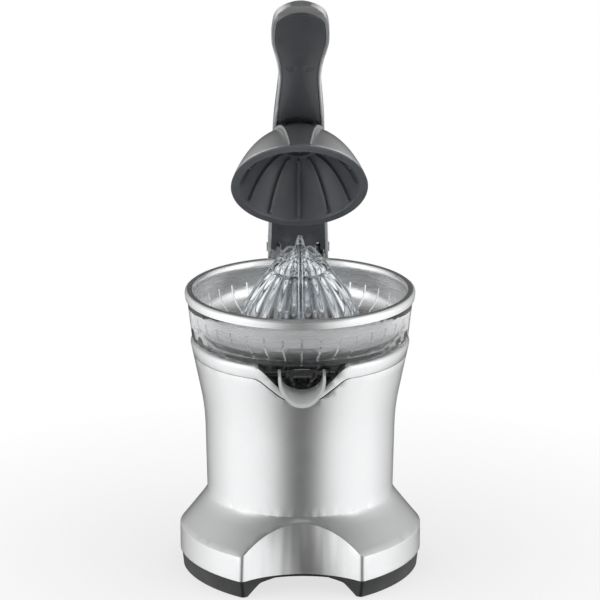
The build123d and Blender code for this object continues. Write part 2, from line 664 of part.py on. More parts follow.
def idler_gear():
    """Large wheel driven by the motor, with the small one that drives the output wheel."""
    wheel = gear(WHEEL_TEETH, STAGE1_Z, GEAR_T, 1, GEAR_CLEARANCE)
    pinion = gear(PINION_TEETH, STAGE1_Z + GEAR_T, STAGE2_Z - STAGE1_Z, 1, GEAR_CLEARANCE)
    bore = upright(0, 0, IDLER_SHAFT_R + RUN_FIT, LOW_PLATE_Z, HIGH_PLATE_Z)
    return Pos(0, CENTRE_DISTANCE, 0) * (wheel + pinion - wheel_holes() - bore)


def idler_shaft():
    return upright(0, CENTRE_DISTANCE, IDLER_SHAFT_R, LOW_PLATE_Z, HIGH_PLATE_Z + PLATE_T)


def motor_pinion():
    return gear(PINION_TEETH, STAGE1_Z - 0.5, GEAR_T + 1, MOTOR_SHAFT_R, GEAR_CLEARANCE)


def motor_shaft():
    shaft = upright(0, 0, MOTOR_SHAFT_R, MOTOR_LOW_Z - 14, STAGE1_Z + GEAR_T + 0.5)
    core = upright(0, 0, ROTOR_R, MOTOR_LOW_Z + ROTOR_INSET, LOW_PLATE_Z - ROTOR_INSET)
    return shaft + core


def motor_fan():
    low = MOTOR_LOW_Z - 12
    hub = tube(9, MOTOR_SHAFT_R, low, low + 8)
    fan = hub + tube(FAN_R, MOTOR_SHAFT_R, low + 6, low + 8)
    for k in range(FAN_BLADES):
        fan += Rot(0, 0, k * 360 / FAN_BLADES) * block(8, FAN_R - 1, -0.8, 0.8, low, low + 6.5)
    return fan


def motor_can():
    """Steel can with end caps; the laminations and windings are its inner ring."""
    top = LOW_PLATE_Z
    can = tube(MOTOR_R, MOTOR_R - 2, MOTOR_LOW_Z, top)
    low_cap = tube(MOTOR_R, MOTOR_BUSH_R, MOTOR_LOW_Z, MOTOR_LOW_Z + 3)
    high_cap = tube(MOTOR_R, MOTOR_BUSH_R, top - 3, top)
    vents = [Rot(0, 0, 60 * k) * upright(22, 0, 4, MOTOR_LOW_Z - 1, MOTOR_LOW_Z + 4) for k in range(6)]
    return can + low_cap + high_cap - vents


def motor_windings():
    ring = tube(MOTOR_R - 2, ROTOR_R + 0.6, MOTOR_LOW_Z + ROTOR_INSET, LOW_PLATE_Z - ROTOR_INSET)
    coils = [Rot(0, 0, 90 * k) * (tube(33, 23, MOTOR_LOW_Z + 8, LOW_PLATE_Z - 8) &
                                  block(0, 40, -14, 14, 0, 200)) for k in range(4)]
    for coil in coils:
        ring += coil
    return ring


def motor_bushes():
    lows = (MOTOR_LOW_Z - 1, LOW_PLATE_Z - 4)
    return group([tube(MOTOR_BUSH_R, MOTOR_SHAFT_R + RUN_FIT, low, low + 5) for low in lows])


def gear_plate(low_z, centre_hole_r):
    plate = tube(PLATE_R, centre_hole_r, low_z, low_z + PLATE_T)
    for k in range(3):
        plate -= Rot(0, 0, 90 + 120 * k) * block(58, 80, -22, 22, low_z - 1, low_z + PLATE_T + 1)
    for x, y in plate_posts():
        plate -= upright(x, y, PLATE_HOLE_R, low_z - 1, low_z + PLATE_T + 1)
    return plate - upright(0, CENTRE_DISTANCE, IDLER_SHAFT_R, low_z - 1, low_z + PLATE_T + 1)


def lower_gear_plate():
    return gear_plate(LOW_PLATE_Z, MOTOR_SHAFT_R + 6)


def upper_gear_plate():
    return gear_plate(HIGH_PLATE_Z, SPINDLE_R + 4)


def plate_spacers():
    spacer = tube(4.5, PLATE_HOLE_R, LOW_PLATE_Z + PLATE_T, HIGH_PLATE_Z)
    return group([Pos(x, y, 0) * spacer for x, y in plate_posts()])


def plate_screws():
    return group([screw(x, y, HIGH_PLATE_Z + PLATE_T, 28, 1.8, 3.6, 2.4) for x, y in plate_posts()])


def spindle_bush():
    z = HIGH_PLATE_Z
    body = tube(SPINDLE_R + 4, SPINDLE_R + RUN_FIT, z, z + BUSH_H)
    return body + tube(SPINDLE_R + 7, SPINDLE_R + RUN_FIT, z + PLATE_T, z + PLATE_T + 2)


def spindle():
    """Drive shaft: it slides a little in the output wheel when the fruit is pressed down."""
    low = STAGE2_Z + 1
    shaft = upright(0, 0, SPINDLE_R, low, CONE_FOOT_Z + 1)
    flat_top = HIGH_PLATE_Z + SPINDLE_TRAVEL + 0.5
    flats = block(-SPINDLE_FLAT, SPINDLE_FLAT, -10, 10, low - 1, flat_top)
    lower = shaft & (flats + block(-10, 10, -10, 10, flat_top, 300))
    collar = upright(0, 0, SPINDLE_R + 6, SPRING_HIGH_Z, SPRING_HIGH_Z + 3)
    seat = upright(0, 0, SPINDLE_R + 5, CONE_FOOT_Z - 1.5, CONE_FOOT_Z + 1.8)
    return lower + spindle_flats(0) + collar + seat


def spindle_spring():
    wire = SPRING_WIRE
    height = SPRING_H - 2 * wire - 0.2
    path = Helix(pitch=height / 4, height=height, radius=SPINDLE_R + 2.4)
    section = Plane(origin=path @ 0, z_dir=path % 0) * Circle(wire)
    coil = sweep(section, path=path)
    return Pos(0, 0, SPRING_LOW_Z + wire + 0.1) * coil


def start_switch():
    """Switch whose blade lies just under the spindle's collar."""
    base = HIGH_PLATE_Z + PLATE_T
    blade_z = SPRING_HIGH_Z - SPINDLE_TRAVEL - 0.8
    body = block(16, 36, -5, 5, base, blade_z - 3)
    post = block(32, 34, -2, 2, blade_z - 3, blade_z)
    blade = block(SPINDLE_R + 4.5, 34, -2, 2, blade_z, blade_z + 0.6)
    return body + post + blade


# ---------------------------------------------------------------- column and hinge
def hinge_cowl():
    """Plate on the back of the column that covers the back of the hinge."""
    face = RectangleRounded(2 * COWL_HALF_W, COWL_TOP_Z - COWL_LOW_Z, 7)
    middle = (0, HINGE_Y + LINER_DEPTH + COWL_GAP, (COWL_LOW_Z + COWL_TOP_Z) / 2)
    return Plane(origin=middle, x_dir=(1, 0, 0), z_dir=(0, 1, 0)) * extrude(face, amount=COWL_T)


def rear_column():
    """Spine behind the bowl that carries the hinge."""
    side = [(COLUMN_REAR_Y - 10, 40), (COLUMN_REAR_Y, 54), (COLUMN_REAR_Y, COLUMN_TOP_Z - 12),
            (COLUMN_REAR_Y - 6, COLUMN_TOP_Z), (COLUMN_FRONT_Y, COLUMN_TOP_Z),
            (COLUMN_FRONT_Y, LIP_Z - 12), (60, LIP_Z - 12), (60, 40)]
    wide = side_prism(side, -COLUMN_HALF_W, COLUMN_HALF_W)
    rear_edges = wide.edges().filter_by(Axis.Z).filter_by(
        lambda e: e.center().Y > COLUMN_REAR_Y - 1)
    wide = fillet(rear_edges, 9)
    half_w, rear = COLUMN_HALF_W - COLUMN_WALL, COLUMN_REAR_Y - COLUMN_WALL
    wide -= block(-half_w, half_w, 50, rear, 50, LIP_Z - 15)
    wide -= block(-14, 14, COLUMN_FRONT_Y + COLUMN_WALL, rear, LIP_Z - 20, COLUMN_TOP_Z - 8)
    neck_side = [(HINGE_Y - 4.6, COLUMN_TOP_Z - 4), (HINGE_Y + 8, COLUMN_TOP_Z - 4),
                 (HINGE_Y + 8, HINGE_Z - 3), (HINGE_Y - 4.6, HINGE_Z - 7)]
    neck = side_prism(neck_side, -KNUCKLE_HALF_W, KNUCKLE_HALF_W)
    neck += crosswise(HINGE_Y, HINGE_Z, KNUCKLE_R, -KNUCKLE_HALF_W, KNUCKLE_HALF_W)
    column = wide + neck + hinge_cowl()
    column -= body_core(0, WAIST_Z - 6, LIP_Z) + foot_solid(0, BAND_LOW_Z)
    column -= upright(0, 0, RIM_R + 1.2, LIP_Z - 14, RIM_TOP_Z + 5)
    column -= crosswise(HINGE_Y, HINGE_Z, PIN_R, -40, 40)
    plunger_hole_low = COLUMN_TOP_Z - 26
    return column - upright(PLUNGER_X, HINGE_Y, PLUNGER_R + RUN_FIT, plunger_hole_low, 300)


def hinge_pin():
    return crosswise(HINGE_Y, HINGE_Z, PIN_R, -ARM_HINGE_HALF_W - 0.2, ARM_HINGE_HALF_W + 0.2)


def hinge_caps():
    shapes = []
    for side in (-1, 1):
        inner = side * (ARM_HINGE_HALF_W + 0.35)
        outer = side * (ARM_HINGE_HALF_W + 1.3)
        cap = crosswise(HINGE_Y, HINGE_Z, 4.4, min(inner, outer), max(inner, outer))
        cap += crosswise(HINGE_Y, HINGE_Z, PIN_R, min(inner, side * (ARM_HINGE_HALF_W + 0.2)),
                         max(inner, side * (ARM_HINGE_HALF_W + 0.2)))
        shapes.append(cap)
    return group(shapes)


def arm_spring():
    """Torsion spring on the hinge pin that lifts the arm."""
    wire = 0.8
    turns = 3
    height = turns * 2.15 * wire
    path = Helix(pitch=height / turns, height=height, radius=PIN_R + 1.8)
    section = Plane(origin=path @ 0, z_dir=path % 0) * Circle(wire)
    coil = sweep(section, path=path)
    return Pos(-KNUCKLE_HALF_W - GAP - wire - height, HINGE_Y, HINGE_Z) * Rot(0, 90, 0) * coil


def switch_plunger():
    """Pin that the arm's cam pushes down as the arm shuts."""
    centre_z = HINGE_Z - CAM_LOW_R - CAM_GAP - PLUNGER_R
    pin = upright(PLUNGER_X, HINGE_Y, PLUNGER_R, COLUMN_TOP_Z - 18, centre_z)
    return pin + Pos(PLUNGER_X, HINGE_Y, centre_z) * Sphere(PLUNGER_R)


def interlock_switch():
    low = COLUMN_TOP_Z - 26
    return upright(PLUNGER_X, HINGE_Y, PLUNGER_R - 0.1, low, low + 3.6)


def switch_cam():
    """Spiral cam inside the arm, drawn for the open arm."""
    def edge(angle):
        rise = CAM_RISE * min(max(angle, 0), OPEN_DEG) / OPEN_DEG
        a = math.radians(angle)
        return (HINGE_Y - (CAM_LOW_R + rise) * math.sin(a), HINGE_Z - (CAM_LOW_R + rise) * math.cos(a))
    points = [edge(a) for a in range(-20, 71, 5)]
    back = [edge(a) for a in (110, 180, 250, 320)]
    back = [(HINGE_Y + (y - HINGE_Y) * 0.66, HINGE_Z + (z - HINGE_Z) * 0.66) for y, z in back]
    low_x = PLUNGER_X - CAM_T / 2
    cam = side_prism(points + back, low_x, low_x + CAM_T)
    return cam - crosswise(HINGE_Y, HINGE_Z, PIN_R + RUN_FIT, 0, 40)


# ---------------------------------------------------------------- arm, drawn shut
def arm_plane(station):
    """Plane across the arm at a station; its own y runs down, away from the back of the arm."""
    y, z, _, _, slope = station
    tilt = math.radians(slope)
    return Plane(origin=(0, y, z), x_dir=(1, 0, 0), z_dir=(0, math.cos(tilt), -math.sin(tilt)))


def arm_loft(first, last, inset, drop, trim_top):
    """Arm between two stations: flat underside, upright sides, crowned back."""
    faces = []
    for station in ARM_STATIONS[first:last]:
        w, top = station[2] - inset, station[3] - trim_top
        shoulder = station[3] * 0.5
        outline = [
            Line((-w, drop), (w, drop)),
            Line((w, drop), (w, -shoulder)),
            ThreePointArc((w, -shoulder), (0, -top), (-w, -shoulder)),
            Line((-w, -shoulder), (-w, drop)),
        ]
        faces.append(arm_plane(station) * make_face(Curve() + outline))
    return loft(faces)


def arm_strip(first, last, inset, low, high, crown=0.05):
    """Bar in the arm between two heights above its underside, its outer face slightly crowned."""
    faces = []
    for station in ARM_STATIONS[first:last]:
        w = station[2] - inset
        outline = [
            Polyline((-w, -low), (-w, -high), (w, -high), (w, -low)),
            ThreePointArc((w, -low), (0, -low + crown), (-w, -low)),
        ]
        faces.append(arm_plane(station) * make_face(Curve() + outline))
    return loft(faces)


def insert_outline(grow):
    """Upright prism round the insert: straight sides and a rounded end near the tip."""
    half_w = ARM_STATIONS[15][2] - ARM_SKIN - FIT + grow
    end = Pos(0, INSERT_END_Y) * Ellipse(half_w, INSERT_END_L + grow)
    grip = end + Pos(0, INSERT_END_Y) * Rectangle(4 * half_w, 400, align=(Align.CENTER, Align.MIN))
    return Pos(0, 0, DOME_RIM_Z - 60) * extrude(grip, amount=200)


def hinge_rod(radius, x_low, x_high):
    return crosswise(HINGE_Y, HINGE_Z, radius, x_low, x_high)


def arm_shell():
    outer = arm_loft(0, len(ARM_STATIONS), 0, 0, 0)
    outer += hinge_rod(LINER_DEPTH, -ARM_HINGE_HALF_W, ARM_HINGE_HALF_W)
    inside_w = ARM_HINGE_HALF_W - ARM_SKIN
    shell = outer - (arm_loft(0, CAVITY_END, ARM_SKIN, 1, ARM_SKIN) & insert_outline(FIT))
    shell -= hinge_rod(LINER_DEPTH + 1, -inside_w, inside_w)
    web = arm_strip(*WEB_STATIONS, ARM_SKIN / 2, 0, 3)
    neck = upright(0, 0, CUP_R + CUP_WALL + FIT + NECK_WALL, DOME_RIM_Z + DOME_H / 2, 330)
    shell += web + neck
    shell -= upright(0, 0, CUP_R + CUP_WALL + FIT, 200, CUP_TOP_Z + CUP_WALL + FIT)
    shell -= dome_solid(DOME_R + FIT, DOME_H + FIT)
    shell += hinge_rod(7, inside_w - 1.2, inside_w + 1) + hinge_rod(7, -inside_w - 1, 1.2 - inside_w)
    shell -= hinge_rod(PIN_R + RUN_FIT, -40, 40) + dome_screw_rods(1.1, 290, DOME_RIM_Z + DOME_H + 11)
    return swung(shell)


def dome_solid(radius, height, drop=0.0):
    """Dome standing on its rim plane, with a straight skirt of length drop below it."""
    p, q = DOME_POWER
    low, top = DOME_RIM_Z - drop, DOME_RIM_Z + height
    rises = [height * (1 - (1 - k / 16) ** 2.2) for k in range(1, 16)]
    points = [(radius * (1 - (t / height) ** p) ** (1 / q), DOME_RIM_Z + t) for t in rises]
    edges = [Spline((radius, DOME_RIM_Z), *points, (0, top)), Line((0, top), (0, low)),
             Line((0, low), (radius, low))]
    if drop > 0:
        edges.append(Line((radius, low), (radius, DOME_RIM_Z)))
    return turned(*edges)


def dome_shell():
    dome = dome_solid(DOME_R, DOME_H) - dome_solid(DOME_R - DOME_SKIN, DOME_H - DOME_SKIN, 1)
    dome -= upright(0, 0, CUP_R + CUP_WALL + FIT, 200, 400) + dome_screw_rods(1.25, 290, 330)
    dome -= upright(0, 0, DOME_R + 2, DOME_RIM_Z - 1, DOME_RIM_Z + DOME_RIM_H)
    return swung(dome)


def dome_spine():
    """Two ridges with a shallow valley that carry the line of the arm down the dome."""
    wedge_top_y = -20.0

    def wedge(inset):
        points = [(-SPINE_TOP_HALF_W + inset, wedge_top_y), (-SPINE_LOW_HALF_W + inset, -DOME_R - 4),
                  (SPINE_LOW_HALF_W - inset, -DOME_R - 4), (SPINE_TOP_HALF_W - inset, wedge_top_y)]
        face = make_face(Polyline(*points, close=True))
        return Pos(0, 0, DOME_RIM_Z + DOME_RIM_H + 0.5) * extrude(face, amount=60)

    high = dome_solid(DOME_R + RIDGE_H, DOME_H + RIDGE_H) & wedge(0)
    floor = dome_solid(DOME_R + 0.9, DOME_H + 0.9)
    spine = high - (wedge(RIDGE_W) - floor)
    spine -= dome_solid(DOME_R + 0.05, DOME_H + 0.05, 1)
    arm = arm_loft(4, 14, -1, FIT, -1) + upright(0, 0, 21.2, 250, 330)
    return swung(spine - arm)


def dome_liner():
    """Dark ribbed cup that presses the fruit."""
    outer = dome_solid(DOME_R - DOME_SKIN - FIT, DOME_H - DOME_SKIN - FIT)
    inner_r, inner_h = DOME_R - DOME_SKIN - LIP_W, LINER_H
    rim_zone = upright(0, 0, DOME_R + 2, DOME_RIM_Z - 1, DOME_RIM_Z + DOME_RIM_H - FIT)
    outer += dome_solid(DOME_R, DOME_H) & rim_zone
    liner = outer + upright(0, 0, CUP_R + CUP_WALL, DOME_RIM_Z + 20, CUP_TOP_Z + CUP_WALL)
    liner -= dome_solid(inner_r, inner_h, 1)
    liner -= upright(0, 0, CUP_R, 200, CUP_TOP_Z)
    liner -= dome_screw_rods(2.6, DOME_RIM_Z + DOME_H - 6.8, 320)
    rib_zone = dome_solid(inner_r + 1, inner_h + 1)
    rib_zone -= dome_solid(inner_r - DOME_RIB_H, inner_h - DOME_RIB_H, 1)
    for k in range(DOME_RIBS):
        blade = block(DOME_RIB_IN_R, 60, -DOME_RIB_T / 2, DOME_RIB_T / 2, DOME_RIM_Z + 2.5, 320)
        liner += Rot(0, 0, k * 360 / DOME_RIBS) * blade & rib_zone
    return swung(liner)


def dome_screw_rods(radius, low_z, high_z):
    """Four upright rods through the neck of the arm."""
    r = CUP_R + CUP_WALL + FIT + NECK_WALL / 2
    angles = [math.radians(a) for a in (45, 135, 225, 315)]
    return group([upright(r * math.cos(a), r * math.sin(a), radius, low_z, high_z) for a in angles])


def dome_screws():
    """Screws that clamp the dome to the neck of the arm, under the liner."""
    head_z = DOME_RIM_Z + DOME_H - 6.6
    screws = dome_screw_rods(1.1, head_z, head_z + 16) + dome_screw_rods(2.2, head_z, head_z + 1.9)
    return swung(group([screws]))


def insert_blank():
    """Insert under the grip before its two small lozenges are cut."""
    insert = arm_strip(*INSERT_STATIONS, ARM_SKIN + FIT, 0.7, 3.4, INSERT_CROWN) & insert_outline(0)
    return insert - dome_solid(DOME_R + 6, DOME_H + 6)


def handle_insert():
    """Dark insert under the grip."""
    return swung(insert_blank() - arm_plug_slot(-1, FIT) - arm_plug_slot(1, FIT))


def arm_plug_slot(side, grow):
    """Small lozenge in the insert."""
    y, z = ARM_STATIONS[12][0] - 2, ARM_STATIONS[12][1]
    face = SlotOverall(7.2 + 2 * grow, 3.6 + 2 * grow)
    return Pos(side * 8.2, y, z - 4) * extrude(face, amount=9)


def handle_plugs():
    """Plugs that fill the two lozenges flush with the insert."""
    return swung(group([insert_blank() & arm_plug_slot(side, 0) for side in (-1, 1)]))


def liner_plate_plane(u, v, x):
    """Point on the liner's face: u along the arm from the hinge axis, v above the underside."""
    tilt = math.radians(ARM_STATIONS[0][4])
    y = HINGE_Y - LINER_DEPTH * math.sin(tilt) - u * math.cos(tilt) + v * math.sin(tilt)
    z = HINGE_Z - LINER_DEPTH * math.cos(tilt) + u * math.sin(tilt) + v * math.cos(tilt)
    plane = Plane(origin=(x, y, z), x_dir=(1, 0, 0), z_dir=(0, math.sin(tilt), math.cos(tilt)))
    return plane.location


def arm_liner():
    """Dark plate on the front of the arm between the hinge and the dome."""
    first, last = LINER_STATIONS
    low = 0.6
    plate = arm_strip(first, last, ARM_SKIN + FIT, low, LINER_T)
    recess = Box(25, 26, 1.0, align=(Align.CENTER, Align.CENTER, Align.MIN))
    plate -= liner_plate_plane(-2, low, 0) * recess
    for side in (-1, 1):
        slot = SlotOverall(16, 4.6, rotation=90)
        plate -= liner_plate_plane(-1, low - 1, side * 18.5) * extrude(slot, amount=6)
        plate -= liner_plate_plane(16, low - 1, side * 15) * Cylinder(3.5, 2, align=LOW)
    return swung(plate)


def liner_caps():
    shapes = []
    for side in (-1, 1):
        cap = liner_plate_plane(16, 0.8, side * 15) * Cylinder(3.4, 0.7, align=LOW)
        shapes.append(cap)
    return swung(group(shapes))


# ---------------------------------------------------------------- spout
def spout_lever():
    """Half-pipe spout; it tips up to stop the drip."""
    def section(y, bottom_z, inset):
        w, low = SPOUT_HALF_W - inset, bottom_z + inset
        mid = SPOUT_TOP_Z - 3
        plane = Plane(origin=(0, y, 0), x_dir=(1, 0, 0), z_dir=(0, -1, 0))
        arc = EllipticalCenterArc((0, mid), w, mid - low, 180, arc_size=180)
        edges = [arc, Line((w, mid), (w, SPOUT_TOP_Z + inset)),
                 Line((w, SPOUT_TOP_Z + inset), (-w, SPOUT_TOP_Z + inset)),
                 Line((-w, SPOUT_TOP_Z + inset), (-w, mid))]
        return plane * make_face(Curve() + edges)

    slope = (SPOUT_BACK_BOTTOM_Z - SPOUT_BOTTOM_Z) / (SPOUT_BACK_Y - SPOUT_TIP_Y)

    def pipe(inset):
        front, back = SPOUT_TIP_Y - 6, SPOUT_BACK_Y + 12
        return loft([section(back, SPOUT_BACK_BOTTOM_Z + 12 * slope, inset),
                     section(front, SPOUT_BOTTOM_Z - 6 * slope, inset)])

    trough = pipe(0) - pipe(SPOUT_T)
    lean = (SPOUT_TOP_Y - SPOUT_TIP_Y) / (SPOUT_TOP_Z - SPOUT_BOTTOM_Z)
    low = SPOUT_BOTTOM_Z - 6
    keep = side_prism([(SPOUT_TIP_Y - 6 * lean, low), (SPOUT_TOP_Y, SPOUT_TOP_Z),
                       (SPOUT_PIVOT_Y + 3, SPOUT_TOP_Z),
                       (SPOUT_PIVOT_Y + 4.5, SPOUT_PIVOT_Z), (SPOUT_BACK_Y, SPOUT_PIVOT_Z - 6),
                       (SPOUT_BACK_Y, low)], -40, 40)
    return (trough & keep) - spout_pins(SPOUT_PIN_R + RUN_FIT)


PARTS = {
    "base_housing": base_housing,
    "top_collar": top_collar,
    "bowl_deck": deck,
    "base_plate": base_plate,
    "foot_pads": foot_pads,
    "base_screws": base_screws,
    "cord_grommet": cord_grommet,
    "rear_column": rear_column,
    "juice_bowl": juice_bowl,
    "strainer": strainer,
    "cone": cone,
    "spindle": spindle,
    "spindle_spring": spindle_spring,
    "spindle_bush": spindle_bush,
    "start_switch": start_switch,
    "output_gear": output_gear,
    "idler_gear": idler_gear,
    "idler_shaft": idler_shaft,
    "motor_pinion": motor_pinion,
    "motor_shaft": motor_shaft,
    "motor_fan": motor_fan,
    "motor_can": motor_can,
    "motor_windings": motor_windings,
    "motor_bushes": motor_bushes,
    "lower_gear_plate": lower_gear_plate,
    "upper_gear_plate": upper_gear_plate,
    "plate_spacers": plate_spacers,
    "plate_screws": plate_screws,
    "hinge_pin": hinge_pin,
    "hinge_caps": hinge_caps,
    "arm_spring": arm_spring,
    "switch_plunger": switch_plunger,
    "interlock_switch": interlock_switch,
    "switch_cam": switch_cam,
    "arm_shell": arm_shell,
    "arm_liner": arm_liner,
    "liner_caps": liner_caps,
    "handle_insert": handle_insert,
    "handle_plugs": handle_plugs,
    "dome_shell": dome_shell,
    "dome_spine": dome_spine,
    "dome_liner": dome_liner,
    "dome_screws": dome_screws,
    "spout_lever": spout_lever,
    "spout_pins": spout_pins,
}

if __name__ == "__main__":
    os.makedirs("parts", exist_ok=True)
    for name, make in PARTS.items():
        export_step(make(), "parts/" + name + ".step")
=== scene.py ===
import math

import bmesh
import bpy
from bpy.props import FloatProperty, FloatVectorProperty, IntProperty, PointerProperty
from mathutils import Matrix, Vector


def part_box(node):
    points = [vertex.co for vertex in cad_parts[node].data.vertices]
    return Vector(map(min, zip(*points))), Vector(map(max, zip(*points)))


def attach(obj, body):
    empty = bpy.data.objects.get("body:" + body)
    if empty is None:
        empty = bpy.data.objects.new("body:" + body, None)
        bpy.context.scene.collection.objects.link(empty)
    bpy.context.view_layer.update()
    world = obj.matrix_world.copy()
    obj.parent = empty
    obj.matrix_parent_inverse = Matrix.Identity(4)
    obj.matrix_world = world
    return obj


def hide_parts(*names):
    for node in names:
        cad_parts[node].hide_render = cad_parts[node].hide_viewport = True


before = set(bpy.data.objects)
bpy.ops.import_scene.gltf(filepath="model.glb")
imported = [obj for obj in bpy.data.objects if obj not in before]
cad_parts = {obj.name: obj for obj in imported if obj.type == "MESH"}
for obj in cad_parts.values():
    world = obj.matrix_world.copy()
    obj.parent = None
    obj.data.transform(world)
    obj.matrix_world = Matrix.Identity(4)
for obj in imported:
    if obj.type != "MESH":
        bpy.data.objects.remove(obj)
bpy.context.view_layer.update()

bl_info = {
    "name": "Citrus Press",
    "version": (1, 0, 0),
    "blender": (4, 5, 0),
    "location": "3D View > Sidebar > Citrus Press",
    "description": "Dresses the packed citrus press: castings, bowl, strainer, cone, arm, dome and drive",
    "category": "Object",
}

MM = 0.001
WORN_DOT = 0.84        # dot product of rounded and true normals at which an edge counts as fully worn
BRUSH_ALONG = 1.4      # brush marks per radian round the strainer
BRUSH_ACROSS = 2600.0  # brush marks per metre across
SEAM_WELD = 0.00001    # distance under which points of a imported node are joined, in metres
BEVEL_ANGLE = math.radians(38.0)
FINE_EDGE = 0.0003     # rounding of thin inserts and turned pieces, in metres
THIN_EDGE = 0.0004     # rounding of the clear bowl and of the rubber pieces, in metres
SOFT_EDGE = 0.0005     # rounding of the black and grey mouldings, in metres
ROUND_EDGE = 0.0006    # rounding of the pressing cup and the spout, in metres
FIN_SHARE = 0.35       # half of a fin's thickness is at most this share of the radius in the flutes
FIN_FILLET = 1.2       # fillet at the root of a fin, in millimetres
FILLET_SHARE = 0.12    # that fillet is at most this share of the radius in the flutes
RIB_POWER = 0.8        # below 1 the ribs get wider and the flutes between them narrower
SOCKET_BORE_R = 0.0063
SOCKET_OUTER_R = 0.0086
SOCKET_LOW = 0.003     # ends of the drive socket above the foot of the reamer, in metres
SOCKET_HIGH = 0.0352

# Silhouette of the reamer between its foot and its tip, in millimetres from its foot plane:
# height, radius in the flutes, radius on the ribs, fin radius, height of the fin's edge.
CONE_RINGS = (
    (0.0, 51.2, 52.6, 54.4, 0.0),
    (0.8, 51.9, 54.2, 55.0, 0.8),
    (6.5, 51.0, 53.6, 54.0, 6.5),
    (13.0, 48.6, 51.3, 51.7, 13.0),
    (21.0, 44.0, 46.9, 47.4, 21.0),
    (28.5, 39.5, 42.5, 42.9, 28.5),
    (36.5, 33.8, 36.7, 37.2, 36.5),
    (42.5, 28.8, 31.8, 32.7, 42.5),
    (44.6, 26.8, 29.6, 31.0, 44.6),
    (45.3, 24.8, 26.4, 30.4, 45.3),
    (45.6, 22.9, 23.2, 30.1, 45.6),
    (46.0, 22.8, 23.0, 29.8, 46.0),
    (46.3, 24.9, 25.6, 29.5, 46.3),
    (47.2, 25.4, 26.3, 28.8, 47.2),
    (51.2, 24.0, 25.2, 25.9, 51.2),
    (52.4, 22.4, 24.6, 25.0, 52.4),
    (57.1, 14.5, 19.2, 21.9, 57.1),
    (60.5, 9.0, 13.4, 17.6, 61.9),
    (63.5, 6.4, 8.6, 13.4, 66.4),
    (65.2, 5.3, 5.9, 10.5, 69.5),
    (66.2, 4.9, 5.0, 8.4, 68.1),
    (67.4, 4.6, 4.6, 5.2, 67.4),
    (70.0, 4.1, 4.1, 4.1, 70.0),
    (75.0, 3.1, 3.1, 3.1, 75.0),
    (77.6, 2.3, 2.3, 2.3, 77.6),
    (78.5, 1.5, 1.5, 1.5, 78.5),
    (78.8, 0.5, 0.5, 0.5, 78.8),
)
# The hollow under the reamer, as radius and height above the foot plane.
CONE_HOLLOW = ((48.6, 0.0), (48.3, 6.0), (45.6, 12.0), (36.4, 28.0), (25.0, 41.0), (19.6, 43.2),
               (19.4, 46.6), (11.5, 52.5), (9.4, 53.6), (0.3, 53.8))


# ------------------------------------------------------------------ settings
class CitrusPressFinish(bpy.types.PropertyGroup):
    paint_colour: FloatVectorProperty(
        name="Paint colour", description="Metallic paint of the castings",
        subtype="COLOR", size=3, min=0, max=1, default=(0.70, 0.705, 0.71))
    paint_roughness: FloatProperty(
        name="Paint roughness", description="Softness of the reflections in the paint",
        min=0, max=1, default=0.30, subtype="FACTOR")
    steel_colour: FloatVectorProperty(
        name="Steel colour", description="Stainless steel of the strainer and the spout",
        subtype="COLOR", size=3, min=0, max=1, default=(0.82, 0.825, 0.83))
    plastic_colour: FloatVectorProperty(
        name="Dark plastic colour", description="Moulded plastic of the dome liner and the grip insert",
        subtype="COLOR", size=3, min=0, max=1, default=(0.062, 0.066, 0.073))
    edge_radius: FloatProperty(
        name="Edge radius", description="Rounding of the hard edges of the castings",
        min=0, max=0.002, default=0.0005, subtype="DISTANCE", unit="LENGTH")


class CitrusPressCone(bpy.types.PropertyGroup):
    fin_thickness: FloatProperty(
        name="Fin thickness", description="Thickness of the four fins of the reamer",
        min=0.001, max=0.005, default=0.0036, subtype="DISTANCE", unit="LENGTH")
    ribs_per_quarter: IntProperty(
        name="Ribs per quarter", description="Ribs between two neighbouring fins",
        min=2, max=9, default=5)
    samples_per_rib: IntProperty(
        name="Samples per rib", description="Mesh points across one rib", min=4, max=12, default=6)


class CitrusPressStage(bpy.types.PropertyGroup):
    floor_colour: FloatVectorProperty(
        name="Floor colour", description="Pale floor under the press",
        subtype="COLOR", size=3, min=0, max=1, default=(0.90, 0.90, 0.90))
    side_lamp: FloatProperty(
        name="Side lamps", description="Power of each large side lamp", min=0, default=4,
        subtype="POWER", unit="POWER")
    top_lamp: FloatProperty(
        name="Top lamp", description="Power of the lamp overhead", min=0, default=6,
        subtype="POWER", unit="POWER")
    room: FloatProperty(
        name="Room light", description="Brightest level of the studio at the sides", min=0, default=1.4)
    overhead: FloatProperty(
        name="Overhead light", description="Level above the press, as a share of the sides",
        min=0, default=0.5)


# ------------------------------------------------------------------ materials
def add_node(tree, kind, inputs=None, **values):
    """Adds a node, sets its options and fills its inputs by name or number."""
    made = tree.nodes.new("ShaderNode" + kind)
    for key, value in values.items():
        setattr(made, key, value)
    for key, value in (inputs or {}).items():
        if isinstance(value, bpy.types.NodeSocket):
            tree.links.new(value, made.inputs[key])
        else:
            made.inputs[key].default_value = value
    return made


def maths(tree, operation, first, second=0.0, clamp=False):
    made = add_node(tree, "Math", {0: first, 1: second}, operation=operation, use_clamp=clamp)
    return made.outputs[0]


def spread(tree, value, low, high, to_low, to_high):
    """Maps one range of a value to another, clamped."""
    return add_node(tree, "MapRange", {"Value": value, "From Min": low, "From Max": high,
                                       "To Min": to_low, "To Max": to_high}).outputs["Result"]


def noise(tree, place, scale, detail=3.0, roughness=0.5):
    return add_node(tree, "TexNoise", {"Vector": place, "Scale": scale, "Detail": detail,
                                       "Roughness": roughness}).outputs["Fac"]


